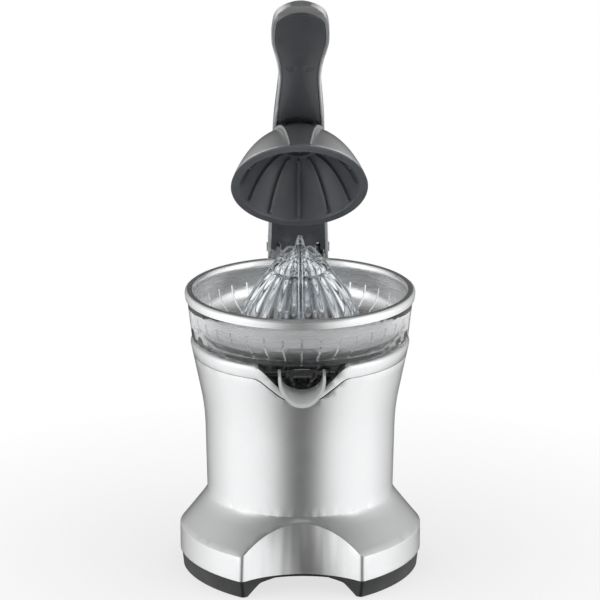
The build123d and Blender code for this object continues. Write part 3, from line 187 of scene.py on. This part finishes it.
def new_finish(name, colour, roughness, metallic=0.0, **shader_values):
    """A material with its shader's fixed values set. Returns material, tree, shader and coordinates."""
    material = bpy.data.materials.new(name)
    material.use_nodes = True
    tree = material.node_tree
    shader = tree.nodes["Principled BSDF"]
    shader.inputs["Base Color"].default_value = (*colour, 1.0)
    shader.inputs["Roughness"].default_value = roughness
    shader.inputs["Metallic"].default_value = metallic
    for key, value in shader_values.items():
        shader.inputs[key.replace("_", " ")].default_value = value
    material.diffuse_color = (*colour, 1.0)
    place = add_node(tree, "TexCoord").outputs["Object"]
    return material, tree, shader, place


def vary_colour(tree, shader, colour, factor, dark, light):
    """Base colour between a darker and a lighter version of a colour."""
    low = tuple(min(1.0, c * dark) for c in colour) + (1.0,)
    high = tuple(min(1.0, c * light) for c in colour) + (1.0,)
    mix = add_node(tree, "Mix", {0: factor, 6: low, 7: high}, data_type="RGBA")
    tree.links.new(mix.outputs[2], shader.inputs["Base Color"])


def worn_edge(tree, radius):
    """1 along edges sharper than the radius, from the difference of rounded and true normals."""
    rounded = add_node(tree, "Bevel", {"Radius": radius}, samples=4).outputs["Normal"]
    true_normal = add_node(tree, "NewGeometry").outputs["Normal"]
    dot = add_node(tree, "VectorMath", {0: rounded, 1: true_normal}, operation="DOT_PRODUCT")
    return spread(tree, dot.outputs["Value"], 1.0, WORN_DOT, 0.0, 1.0)


def relief(tree, shader, height, distance, strength):
    """Bump from a height between 0 and 1."""
    bump = add_node(tree, "Bump", {"Height": height, "Distance": distance, "Strength": strength})
    tree.links.new(bump.outputs["Normal"], shader.inputs["Normal"])


def silver_paint(name, colour, roughness, metallic=0.88):
    """Satin metallic paint: fine flake, slight orange peel, edges rubbed a little brighter."""
    material, tree, shader, place = new_finish(name, colour, roughness, metallic=metallic,
                                               Coat_Weight=0.25, Coat_Roughness=0.12)
    flake = add_node(tree, "TexVoronoi", {"Vector": place, "Scale": 1700.0}).outputs["Color"]
    sparkle = add_node(tree, "SeparateColor", {"Color": flake}).outputs[0]
    cloud = noise(tree, place, 60.0, 4.0)
    wear = worn_edge(tree, 0.0009)
    speck = spread(tree, sparkle, 0.0, 1.0, 0.3, 0.6)
    tone = maths(tree, "ADD", speck, maths(tree, "MULTIPLY", wear, 0.4), clamp=True)
    vary_colour(tree, shader, colour, tone, 0.92, 1.10)
    rough = maths(tree, "ADD", spread(tree, cloud, 0.3, 0.7, roughness - 0.025, roughness + 0.025),
                  maths(tree, "MULTIPLY", wear, -0.05))
    tree.links.new(rough, shader.inputs["Roughness"])
    peel = noise(tree, place, 420.0, 2.0)
    relief(tree, shader, peel, 0.00003, 0.15)
    return material


def round_brushing(tree, place):
    """Fine lines that run round the upright axis."""
    parts = add_node(tree, "SeparateXYZ", {"Vector": place}).outputs
    angle = maths(tree, "ARCTAN2", parts[0], parts[1])
    radius = add_node(tree, "VectorMath", {0: place}, operation="LENGTH").outputs["Value"]
    lines = add_node(tree, "CombineXYZ", {"X": maths(tree, "MULTIPLY", angle, BRUSH_ALONG),
                                          "Y": maths(tree, "MULTIPLY", radius, BRUSH_ACROSS),
                                          "Z": maths(tree, "MULTIPLY", parts[2], BRUSH_ACROSS)})
    return lines.outputs["Vector"]


def upright_streaks(tree, place, along, across):
    """Coordinates drawn out along Z, for marks that run up and down."""
    made = add_node(tree, "Mapping", {"Vector": place, "Scale": (across, across, along)})
    return made.outputs["Vector"]


def brushed_metal(name, colour, roughness, anisotropy=0.55, metallic=0.8):
    """Sheet metal brushed round the upright axis, with faint blotches and polished edges."""
    material, tree, shader, place = new_finish(name, colour, roughness, metallic=metallic,
                                               Anisotropic=anisotropy)
    scratch = noise(tree, round_brushing(tree, place), 1.0, 5.0, 0.62)
    blotch = noise(tree, place, 35.0, 3.0)
    wear = worn_edge(tree, 0.0006)
    tone = maths(tree, "ADD", spread(tree, scratch, 0.3, 0.7, 0.15, 0.85),
                 maths(tree, "MULTIPLY", blotch, 0.15), clamp=True)
    vary_colour(tree, shader, colour, tone, 0.86, 1.08)
    rough = maths(tree, "ADD", spread(tree, scratch, 0.3, 0.7, roughness - 0.05, roughness + 0.07),
                  maths(tree, "MULTIPLY", wear, -0.08))
    tree.links.new(rough, shader.inputs["Roughness"])
    relief(tree, shader, scratch, 0.00003, 0.4)
    tangent = add_node(tree, "Tangent", direction_type="RADIAL", axis="Z")
    tree.links.new(tangent.outputs["Tangent"], shader.inputs["Tangent"])
    return material


def polished_metal(name, colour, roughness):
    """Machined or plated metal with faint handling marks."""
    material, tree, shader, place = new_finish(name, colour, roughness, metallic=1.0)
    fine = noise(tree, place, 900.0, 3.0)
    smear = noise(tree, place, 70.0, 4.0, 0.6)
    wear = worn_edge(tree, 0.0004)
    tone = maths(tree, "ADD", smear, maths(tree, "MULTIPLY", wear, 0.4))
    vary_colour(tree, shader, colour, tone, 0.88, 1.1)
    tree.links.new(spread(tree, smear, 0.3, 0.7, roughness - 0.05, roughness + 0.08),
                   shader.inputs["Roughness"])
    relief(tree, shader, fine, 0.00002, 0.3)
    return material


def moulded_plastic(name, colour, roughness, grain=1400.0, depth=0.00004, specular=0.5, painted_shade_colour=None):
    """Moulded plastic: fine grain, edges rubbed smooth and lighter; upright walls can take a darker colour
    as painted shade.
    """
    material, tree, shader, place = new_finish(name, colour, roughness, Specular_IOR_Level=specular)
    cell = add_node(tree, "TexVoronoi", {"Vector": place, "Scale": grain},
                    feature="SMOOTH_F1").outputs["Distance"]
    haze = noise(tree, place, 45.0, 4.0, 0.6)
    wear = worn_edge(tree, 0.0007)
    tone = maths(tree, "ADD", spread(tree, haze, 0.3, 0.7, 0.2, 0.6), maths(tree, "MULTIPLY", wear, 0.6),
                 clamp=True)
    vary_colour(tree, shader, colour, tone, 0.85, 1.35)
    # painted shade: upright walls take the darker shade colour, faces turned up keep the plastic's colour
    if painted_shade_colour is not None:
        painted = shader.inputs["Base Color"].links[0].from_socket
        lift = add_node(tree, "SeparateXYZ", {"Vector": add_node(tree, "NewGeometry").outputs["Normal"]})
        unshaded_top_mask = spread(tree, lift.outputs["Z"], 0.85, 0.95, 0.0, 1.0)
        painted_shade_mix = add_node(tree, "Mix", {0: unshaded_top_mask, 6: (*painted_shade_colour, 1.0), 7: painted}, data_type="RGBA")
        tree.links.new(painted_shade_mix.outputs[2], shader.inputs["Base Color"])
    rough = maths(tree, "ADD", spread(tree, haze, 0.3, 0.7, roughness - 0.05, roughness + 0.06),
                  maths(tree, "MULTIPLY", wear, -0.1))
    tree.links.new(rough, shader.inputs["Roughness"])
    relief(tree, shader, cell, depth, 0.6)
    return material


def rubber(name, colour):
    """Soft moulded rubber with a dusty bloom."""
    material, tree, shader, place = new_finish(name, colour, 0.75, Specular_IOR_Level=0.3)
    bloom = noise(tree, place, 120.0, 5.0, 0.65)
    vary_colour(tree, shader, colour, spread(tree, bloom, 0.35, 0.75, 0.0, 1.0), 0.8, 1.9)
    tree.links.new(spread(tree, bloom, 0.3, 0.7, 0.65, 0.85), shader.inputs["Roughness"])
    relief(tree, shader, noise(tree, place, 1900.0, 2.0), 0.00005, 0.6)
    return material


def clear_plastic(name, tint, roughness):
    """Clear moulded plastic: slight flow waves, faint wipe marks and a soft gloss."""
    material, tree, shader, place = new_finish(name, tint, roughness, Transmission_Weight=1.0, IOR=1.49)
    flow = noise(tree, place, 55.0, 2.0)
    wipe = noise(tree, upright_streaks(tree, place, 60.0, 500.0), 1.0, 4.0, 0.6)
    vary_colour(tree, shader, tint, flow, 0.985, 1.01)
    tree.links.new(spread(tree, wipe, 0.55, 0.9, roughness, roughness + 0.02), shader.inputs["Roughness"])
    relief(tree, shader, flow, 0.00003, 0.1)
    return material


def wound_copper(name, colour):
    """Enamelled wire laid in close turns, with painted shade in the grooves between them."""
    material, tree, shader, place = new_finish(name, colour, 0.32, metallic=0.9, Coat_Weight=0.4)
    turns = add_node(tree, "TexWave", {"Vector": place, "Scale": 380.0, "Distortion": 1.2, "Detail": 2.0},
                     bands_direction="Z").outputs["Fac"]
    # painted shade: darker colour in the grooves between turns, lighter on their crests
    vary_colour(tree, shader, colour, turns, 0.55, 1.15)
    tree.links.new(spread(tree, turns, 0.0, 1.0, 0.42, 0.26), shader.inputs["Roughness"])
    relief(tree, shader, turns, 0.0002, 0.8)
    return material


def build_finishes():
    """Makes every finish once and keeps them by name."""
    look = bpy.context.scene.citrus_press_finish
    paint = tuple(look.paint_colour)
    steel = tuple(look.steel_colour)
    dark = tuple(look.plastic_colour)
    return {
        "satin_silver": silver_paint("satin_silver", paint, look.paint_roughness),
        # darker copy of the silver paint for the dome's front spine: painted shade
        "satin_silver_painted_shade": silver_paint("satin_silver_painted_shade", tuple(c * 0.62 for c in paint), 0.33),
        "brushed_stainless": brushed_metal("brushed_stainless", steel, 0.26),
        # spout: less metallic satin paint, its colour raised above the castings' as painted highlight on
        # the rim
        "satin_spout_painted_highlight": silver_paint("satin_spout_painted_highlight", tuple(c * 1.2 for c in paint), 0.40, metallic=0.3),
        "clear_moulding": clear_plastic("clear_moulding", (0.970, 0.978, 0.982), 0.0),
        "clear_reamer": clear_plastic("clear_reamer", (0.915, 0.950, 0.975), 0.0),
        "dark_grey_moulding": moulded_plastic("dark_grey_moulding", dark, 0.40),
        "dome_grey_moulding": moulded_plastic("dome_grey_moulding", tuple(c * 2.0 for c in dark), 0.36),
        "black_moulding": moulded_plastic("black_moulding", (0.011, 0.012, 0.013), 0.45, specular=0.4),
        "soft_black_rubber": rubber("soft_black_rubber", (0.014, 0.014, 0.015)),
        "turned_steel": polished_metal("turned_steel", (0.60, 0.60, 0.61), 0.24),
        "plated_steel": polished_metal("plated_steel", (0.56, 0.58, 0.60), 0.34),
        "sintered_bronze": polished_metal("sintered_bronze", (0.62, 0.42, 0.22), 0.38),
        # deck: grey top, upright walls painted near black as shade
        "deck_moulding_painted_shade": moulded_plastic("deck_moulding_painted_shade", (0.30, 0.305, 0.31), 0.40, specular=0.4,
                                         painted_shade_colour=(0.011, 0.012, 0.013)),
        "natural_acetal": moulded_plastic("natural_acetal", (0.72, 0.70, 0.63), 0.5, 900.0, 0.00003),
        "enamelled_copper": wound_copper("enamelled_copper", (0.70, 0.33, 0.14)),
    }


def finish_named(name):
    if name not in bpy.data.materials:
        build_finishes()
    return bpy.data.materials[name]


# ------------------------------------------------------------------ mesh helpers
def dress(nodes, finish, edge=0.0):
    """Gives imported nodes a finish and, where asked, rounded hard edges."""
    for name in nodes:
        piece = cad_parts[name]
        piece.data.materials.clear()
        piece.data.materials.append(finish_named(finish))
        weld = piece.modifiers.new("join seams", "WELD")
        weld.merge_threshold = SEAM_WELD
        if edge > 0:
            bevel = piece.modifiers.new("soft edges", "BEVEL")
            bevel.width = edge
            bevel.segments = 2
            bevel.limit_method = "ANGLE"
            bevel.angle_limit = BEVEL_ANGLE
            bevel.harden_normals = True
            bevel.use_clamp_overlap = True


def piece_from(name, verts, faces, finish, body):
    """Makes one mesh piece in metres, gives it a finish and lets it ride on a body."""
    mesh = bpy.data.meshes.new(name)
    mesh.from_pydata(verts, [], faces)
    mesh.validate()
    bm = bmesh.new()
    bm.from_mesh(mesh)
    bmesh.ops.recalc_face_normals(bm, faces=bm.faces)
    for face in bm.faces:
        face.smooth = True
    bm.to_mesh(mesh)
    bm.free()
    mesh.materials.append(finish_named(finish))
    piece = bpy.data.objects.new(name, mesh)
    bpy.context.scene.collection.objects.link(piece)
    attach(piece, body)
    return piece


def ring_faces(first, second, count):
    """Quads between two closed rings of vertices."""
    return [(first + k, first + (k + 1) % count, second + (k + 1) % count, second + k)
            for k in range(count)]


def cap_face(first, count):
    return [tuple(range(first, first + count))]


# ------------------------------------------------------------------ the reamer
def cone_section(ring, thickness, ribs, samples):
    """One level of the reamer's skin: four fins with ribs between them, counter-clockwise."""
    height, valley, crest, fin, fin_height = ring
    half = min(thickness / 2, valley * FIN_SHARE)
    fillet = min(FIN_FILLET, valley * FILLET_SHARE)
    root = math.asin(min(0.9, (half + fillet) / valley))
    sweep = math.pi / 2 - 2 * root
    points = []
    for quarter in range(4):
        turn = quarter * math.pi / 2
        cos_t, sin_t = math.cos(turn), math.sin(turn)
        reach = max(fin, valley + 0.02)
        mid = (valley + reach) / 2
        mid_height = (height + fin_height) / 2
        side = [(mid, -half, mid_height), (reach - 0.25 * half, -half, fin_height),
                (reach, -half * 0.55, fin_height), (reach, half * 0.55, fin_height),
                (reach - 0.25 * half, half, fin_height), (mid, half, mid_height),
                (valley + fillet * 0.4, half + 0.15 * fillet, height)]
        points += [(x * cos_t - y * sin_t, x * sin_t + y * cos_t, z) for x, y, z in side]
        steps = ribs * samples
        for k in range(steps + 1):
            share = k / steps
            lift = (0.5 - 0.5 * math.cos(2 * math.pi * ribs * share)) ** RIB_POWER
            radius = valley + (crest - valley) * lift
            angle = turn + root + sweep * share
            points.append((radius * math.cos(angle), radius * math.sin(angle), height))
        tail = (valley + fillet * 0.4, -half - 0.15 * fillet, height)
        nxt = turn + math.pi / 2
        cos_n, sin_n = math.cos(nxt), math.sin(nxt)
        points.append((tail[0] * cos_n - tail[1] * sin_n, tail[0] * sin_n + tail[1] * cos_n, tail[2]))
    return points


def cone_mesh(settings):
    """Vertices and faces of the clear reamer, in metres: ribbed skin, hollow and drive socket."""
    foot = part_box("cone")[0].z
    sections = [cone_section(ring, settings.fin_thickness / MM, settings.ribs_per_quarter,
                             settings.samples_per_rib) for ring in CONE_RINGS]
    count = len(sections[0])
    verts = [(x * MM, y * MM, foot + z * MM) for section in sections for x, y, z in section]
    faces = []
    for k in range(len(sections) - 1):
        faces += ring_faces(k * count, (k + 1) * count, count)
    faces += cap_face((len(sections) - 1) * count, count)
    start = len(verts)
    angles = [math.atan2(y, x) for x, y, _ in sections[0]]
    for radius, height in CONE_HOLLOW:
        verts += [(radius * MM * math.cos(a), radius * MM * math.sin(a), foot + height * MM)
                  for a in angles]
    faces += ring_faces(0, start, count)
    for k in range(len(CONE_HOLLOW) - 1):
        faces += ring_faces(start + k * count, start + (k + 1) * count, count)
    faces += cap_face(start + (len(CONE_HOLLOW) - 1) * count, count)
    return verts, faces


def socket_mesh(inner, outer, low, high, sides=48):
    """Closed tube for the drive socket, in metres."""
    rings = [(inner, low), (outer, low), (outer, high), (inner, high)]
    verts = [(r * math.cos(2 * math.pi * k / sides), r * math.sin(2 * math.pi * k / sides), z)
             for r, z in rings for k in range(sides)]
    faces = []
    for k in range(4):
        faces += ring_faces(k * sides, (k + 1) % 4 * sides, sides)
    return verts, faces


# ------------------------------------------------------------------ operators
class PressOperator:
    bl_options = {"REGISTER", "UNDO"}


class CITRUSPRESS_OT_castings(PressOperator, bpy.types.Operator):
    """Finish the painted castings of the body, the column and the arm"""
    bl_idname = "citrus_press.castings"
    bl_label = "Castings"

    def execute(self, context):
        edge = context.scene.citrus_press_finish.edge_radius
        dress(("base_housing",), "satin_silver", edge * 2)
        dress(("top_collar", "rear_column", "arm_shell", "dome_shell"), "satin_silver", edge)
        # the spine's darker silver is painted shade of its concave valley
        dress(("dome_spine",), "satin_silver_painted_shade", edge * 0.6)
        return {"FINISHED"}


class CITRUSPRESS_OT_foot(PressOperator, bpy.types.Operator):
    """Finish the dark skirt, the pads, the screws and the cord outlet under the body"""
    bl_idname = "citrus_press.foot"
    bl_label = "Foot"

    def execute(self, context):
        dress(("base_plate",), "black_moulding", SOFT_EDGE)
        # the deck's upright walls carry painted shade
        dress(("bowl_deck",), "deck_moulding_painted_shade", SOFT_EDGE)
        dress(("foot_pads", "cord_grommet"), "soft_black_rubber", THIN_EDGE)
        dress(("base_screws",), "plated_steel")
        return {"FINISHED"}


class CITRUSPRESS_OT_bowl(PressOperator, bpy.types.Operator):
    """Finish the clear juice bowl"""
    bl_idname = "citrus_press.bowl"
    bl_label = "Juice bowl"

    def execute(self, context):
        dress(("juice_bowl",), "clear_moulding", THIN_EDGE)
        return {"FINISHED"}


class CITRUSPRESS_OT_strainer(PressOperator, bpy.types.Operator):
    """Finish the slotted steel strainer"""
    bl_idname = "citrus_press.strainer"
    bl_label = "Strainer"

    def execute(self, context):
        dress(("strainer",), "brushed_stainless")
        return {"FINISHED"}


class CITRUSPRESS_OT_cone(PressOperator, bpy.types.Operator):
    """Build the clear reamer with its fins, ribs and drive socket"""
    bl_idname = "citrus_press.cone"
    bl_label = "Reamer"

    def execute(self, context):
        settings = context.scene.citrus_press_cone
        verts, faces = cone_mesh(settings)
        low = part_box("cone")[0].z
        tube_verts, tube_faces = socket_mesh(SOCKET_BORE_R, SOCKET_OUTER_R,
                                             low + SOCKET_LOW, low + SOCKET_HIGH)
        faces += [tuple(v + len(verts) for v in face) for face in tube_faces]
        cone = piece_from("reamer", verts + tube_verts, faces, "clear_reamer",
                          "spindle_and_cone")
        crease = cone.modifiers.new("smooth ribs", "SUBSURF")
        crease.levels = crease.render_levels = 1
        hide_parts("cone")
        return {"FINISHED"}


class CITRUSPRESS_OT_arm(PressOperator, bpy.types.Operator):
    """Finish the insert, the plugs and the liner plate of the arm"""
    bl_idname = "citrus_press.arm"
    bl_label = "Arm inserts"

    def execute(self, context):
        dress(("handle_insert", "arm_liner", "handle_plugs", "liner_caps"), "dark_grey_moulding", FINE_EDGE)
        dress(("switch_cam",), "black_moulding")
        return {"FINISHED"}


class CITRUSPRESS_OT_dome(PressOperator, bpy.types.Operator):
    """Finish the ribbed pressing cup and its screws"""
    bl_idname = "citrus_press.dome"
    bl_label = "Pressing dome"

    def execute(self, context):
        dress(("dome_liner",), "dome_grey_moulding", ROUND_EDGE)
        dress(("dome_screws",), "plated_steel")
        return {"FINISHED"}


class CITRUSPRESS_OT_spout(PressOperator, bpy.types.Operator):
    """Finish the tilting spout and its pins"""
    bl_idname = "citrus_press.spout"
    bl_label = "Spout"

    def execute(self, context):
        # the spout's lighter paint is partly painted highlight
        dress(("spout_lever",), "satin_spout_painted_highlight", ROUND_EDGE)
        dress(("spout_pins",), "black_moulding")
        return {"FINISHED"}


class CITRUSPRESS_OT_hinge(PressOperator, bpy.types.Operator):
    """Finish the hinge pin, its caps, the spring and the arm switch"""
    bl_idname = "citrus_press.hinge"
    bl_label = "Hinge"

    def execute(self, context):
        dress(("hinge_pin", "hinge_caps"), "turned_steel", FINE_EDGE)
        dress(("arm_spring",), "plated_steel")
        dress(("switch_plunger", "interlock_switch"), "black_moulding")
        return {"FINISHED"}


class CITRUSPRESS_OT_drive(PressOperator, bpy.types.Operator):
    """Finish the motor, the gears and the plates inside the body"""
    bl_idname = "citrus_press.drive"
    bl_label = "Drive"

    def execute(self, context):
        dress(("spindle", "idler_shaft", "motor_shaft", "motor_pinion"), "turned_steel")
        dress(("motor_can", "lower_gear_plate", "upper_gear_plate", "plate_spacers", "plate_screws",
               "spindle_spring"), "plated_steel")
        dress(("spindle_bush", "motor_bushes"), "sintered_bronze")
        dress(("output_gear", "idler_gear"), "natural_acetal")
        dress(("motor_fan", "start_switch"), "black_moulding")
        dress(("motor_windings",), "enamelled_copper")
        return {"FINISHED"}


def area_lamp(name, place, size, power):
    """A soft rectangular lamp that points at the press."""
    data = bpy.data.lights.new(name, "AREA")
    data.shape = "RECTANGLE"
    data.size, data.size_y = size
    data.energy = power
    lamp = bpy.data.objects.new(name, data)
    lamp.location = place
    lamp.rotation_mode = "QUATERNION"
    lamp.rotation_quaternion = (Vector(AIM_POINT) - lamp.location).to_track_quat("-Z", "Y")
    bpy.context.scene.collection.objects.link(lamp)
    return lamp


# Brightness of the studio from its middle strip (0), front to back overhead, out to the sides (1).
STUDIO_RAMP = ((0.0, 0.05), (0.12, 0.12), (0.22, 0.36), (0.34, 0.74), (0.50, 0.95), (0.80, 1.0),
               (1.0, 0.97))
REAR_SHARE = 0.5                    # level behind the press, as a share of the level in front
FLOOR_RINGS = (0.25, 0.6, 1.5, 4.0, 12.0)
FLOOR_SIDES = 96
NEAR_WHITE = (0.10, 0.72)           # distance from the press in metres, share of plain white
FAR_WHITE = (0.48, 1.0)
AIM_POINT = (0.0, 0.0, 0.25)
SIDE_LAMP_PLACE = (1.55, -0.55, 0.75)
SIDE_LAMP_SIZE = (0.9, 1.7)
TOP_LAMP_PLACE = (0.0, 0.2, 2.1)
TOP_LAMP_SIZE = (1.6, 1.6)
CAMERA_PLACE = (-0.057, -3.4995, 1.2988)
CAMERA_PITCH = math.radians(16.6726)
CAMERA_TURN = math.radians(0.933)
CAMERA_LENS = 239.03


def build_world(room, overhead):
    """Soft studio light with a darker middle strip; plain white seen directly or through clear plastic."""
    world = bpy.data.worlds.new("studio")
    bpy.context.scene.world = world
    world.use_nodes = True
    tree = world.node_tree
    tree.nodes.clear()
    path = add_node(tree, "LightPath")
    way = add_node(tree, "TexCoord").outputs["Generated"]
    parts = add_node(tree, "SeparateXYZ", {"Vector": way}).outputs
    off_strip = maths(tree, "ARCSINE", maths(tree, "ABSOLUTE", parts[0]))
    ramp = add_node(tree, "ValToRGB", {"Fac": maths(tree, "DIVIDE", off_strip, math.pi / 2)})
    stops = ramp.color_ramp.elements
    while len(stops) < len(STUDIO_RAMP):
        stops.new(0.5)
    for stop, (position, level) in zip(stops, STUDIO_RAMP):
        stop.position = position
        stop.color = (level, level, level, 1.0)
    height = spread(tree, parts[2], 0.2, 0.85, room, room * overhead)
    rear = spread(tree, parts[1], 0.1, 0.85, 1.0, REAR_SHARE)
    level = maths(tree, "MULTIPLY", ramp.outputs["Color"], maths(tree, "MULTIPLY", height, rear))
    behind = spread(tree, parts[1], -0.2, 0.5, 0.0, 1.0)
    through = maths(tree, "MULTIPLY", path.outputs["Is Transmission Ray"], behind)
    seen = maths(tree, "MAXIMUM", path.outputs["Is Camera Ray"], through)
    strength = add_node(tree, "Mix", {0: seen, 2: level, 3: 1.0}, data_type="FLOAT").outputs[0]
    light = add_node(tree, "Background", {"Color": (1, 1, 1, 1), "Strength": strength})
    add_node(tree, "OutputWorld", {"Surface": light.outputs[0]})


def build_floor(colour):
    """Wide pale floor that turns to plain white far from the press."""
    angles = [2 * math.pi * k / FLOOR_SIDES for k in range(FLOOR_SIDES)]
    verts = [(0.0, 0.0, 0.0)]
    verts += [(radius * math.cos(a), radius * math.sin(a), 0.0) for radius in FLOOR_RINGS for a in angles]
    faces = [(0, 1 + k, 1 + (k + 1) % FLOOR_SIDES) for k in range(FLOOR_SIDES)]
    for k in range(len(FLOOR_RINGS) - 1):
        faces += ring_faces(1 + k * FLOOR_SIDES, 1 + (k + 1) * FLOOR_SIDES, FLOOR_SIDES)
    mesh = bpy.data.meshes.new("floor")
    mesh.from_pydata(verts, [], faces)
    floor = bpy.data.objects.new("floor", mesh)
    bpy.context.scene.collection.objects.link(floor)
    material = bpy.data.materials.new("pale_floor")
    material.use_nodes = True
    tree = material.node_tree
    shader = tree.nodes["Principled BSDF"]
    shader.inputs["Base Color"].default_value = (*colour, 1.0)
    shader.inputs["Roughness"].default_value = 0.45
    place = add_node(tree, "TexCoord").outputs["Object"]
    away = add_node(tree, "VectorMath", {0: place}, operation="LENGTH").outputs["Value"]
    far = spread(tree, away, NEAR_WHITE[0], FAR_WHITE[0], NEAR_WHITE[1], FAR_WHITE[1])
    path = add_node(tree, "LightPath").outputs
    depth = add_node(tree, "SeparateXYZ", {"Vector": place}).outputs[1]
    behind = spread(tree, depth, 0.0, 0.25, 0.0, 1.0)
    through = maths(tree, "MULTIPLY", path["Is Transmission Ray"], behind)
    seen = maths(tree, "MAXIMUM", path["Is Camera Ray"], through)
    share = maths(tree, "MULTIPLY", far, seen)
    white = add_node(tree, "Emission", {"Color": (1, 1, 1, 1), "Strength": 1.0}).outputs[0]
    blend = add_node(tree, "MixShader", {0: share, 1: shader.outputs[0], 2: white}).outputs[0]
    tree.links.new(blend, tree.nodes["Material Output"].inputs["Surface"])
    floor.visible_glossy = False
    mesh.materials.append(material)


class CITRUSPRESS_OT_stage(PressOperator, bpy.types.Operator):
    """Set the floor, the lamps, the room light and the camera"""
    bl_idname = "citrus_press.stage"
    bl_label = "Stage"

    def execute(self, context):
        settings = context.scene.citrus_press_stage
        build_floor(tuple(settings.floor_colour))
        build_world(settings.room, settings.overhead)
        x, y, z = SIDE_LAMP_PLACE
        area_lamp("lamp_left", (-x, y, z), SIDE_LAMP_SIZE, settings.side_lamp)
        area_lamp("lamp_right", (x, y, z), SIDE_LAMP_SIZE, settings.side_lamp)
        above = area_lamp("lamp_top", TOP_LAMP_PLACE, TOP_LAMP_SIZE, settings.top_lamp)
        above.visible_glossy = False
        data = bpy.data.cameras.new("camera")
        data.lens = CAMERA_LENS
        data.sensor_width = 36.0
        camera = bpy.data.objects.new("camera", data)
        camera.location = CAMERA_PLACE
        camera.rotation_euler = (math.pi / 2 - CAMERA_PITCH, 0.0, -CAMERA_TURN)
        context.scene.collection.objects.link(camera)
        context.scene.camera = camera
        context.scene.view_settings.view_transform = "Standard"
        return {"FINISHED"}


STEPS = ("castings", "foot", "bowl", "strainer", "cone", "arm", "dome", "spout", "hinge", "drive", "stage")


class CITRUSPRESS_PT_panel(bpy.types.Panel):
    """Citrus press builder"""
    bl_idname = "CITRUSPRESS_PT_panel"
    bl_label = "Citrus Press"
    bl_space_type = "VIEW_3D"
    bl_region_type = "UI"
    bl_category = "Citrus Press"

    def draw(self, context):
        layout = self.layout
        for group in ("finish", "cone", "stage"):
            settings = getattr(context.scene, "citrus_press_" + group)
            box = layout.box()
            for key in settings.__annotations__:
                box.prop(settings, key)
        for step in STEPS:
            layout.operator("citrus_press." + step)


CLASSES = (
    CitrusPressFinish, CitrusPressCone, CitrusPressStage,
    CITRUSPRESS_OT_castings, CITRUSPRESS_OT_foot, CITRUSPRESS_OT_bowl, CITRUSPRESS_OT_strainer,
    CITRUSPRESS_OT_cone, CITRUSPRESS_OT_arm, CITRUSPRESS_OT_dome, CITRUSPRESS_OT_spout,
    CITRUSPRESS_OT_hinge, CITRUSPRESS_OT_drive, CITRUSPRESS_OT_stage, CITRUSPRESS_PT_panel,
)


def register():
    for cls in CLASSES:
        bpy.utils.register_class(cls)
    bpy.types.Scene.citrus_press_finish = PointerProperty(type=CitrusPressFinish)
    bpy.types.Scene.citrus_press_cone = PointerProperty(type=CitrusPressCone)
    bpy.types.Scene.citrus_press_stage = PointerProperty(type=CitrusPressStage)


def unregister():
    del bpy.types.Scene.citrus_press_stage
    del bpy.types.Scene.citrus_press_cone
    del bpy.types.Scene.citrus_press_finish
    for cls in reversed(CLASSES):
        bpy.utils.unregister_class(cls)


def main():
    register()
    for step in STEPS:
        getattr(bpy.ops.citrus_press, step)()


if __name__ == "__main__":
    main()
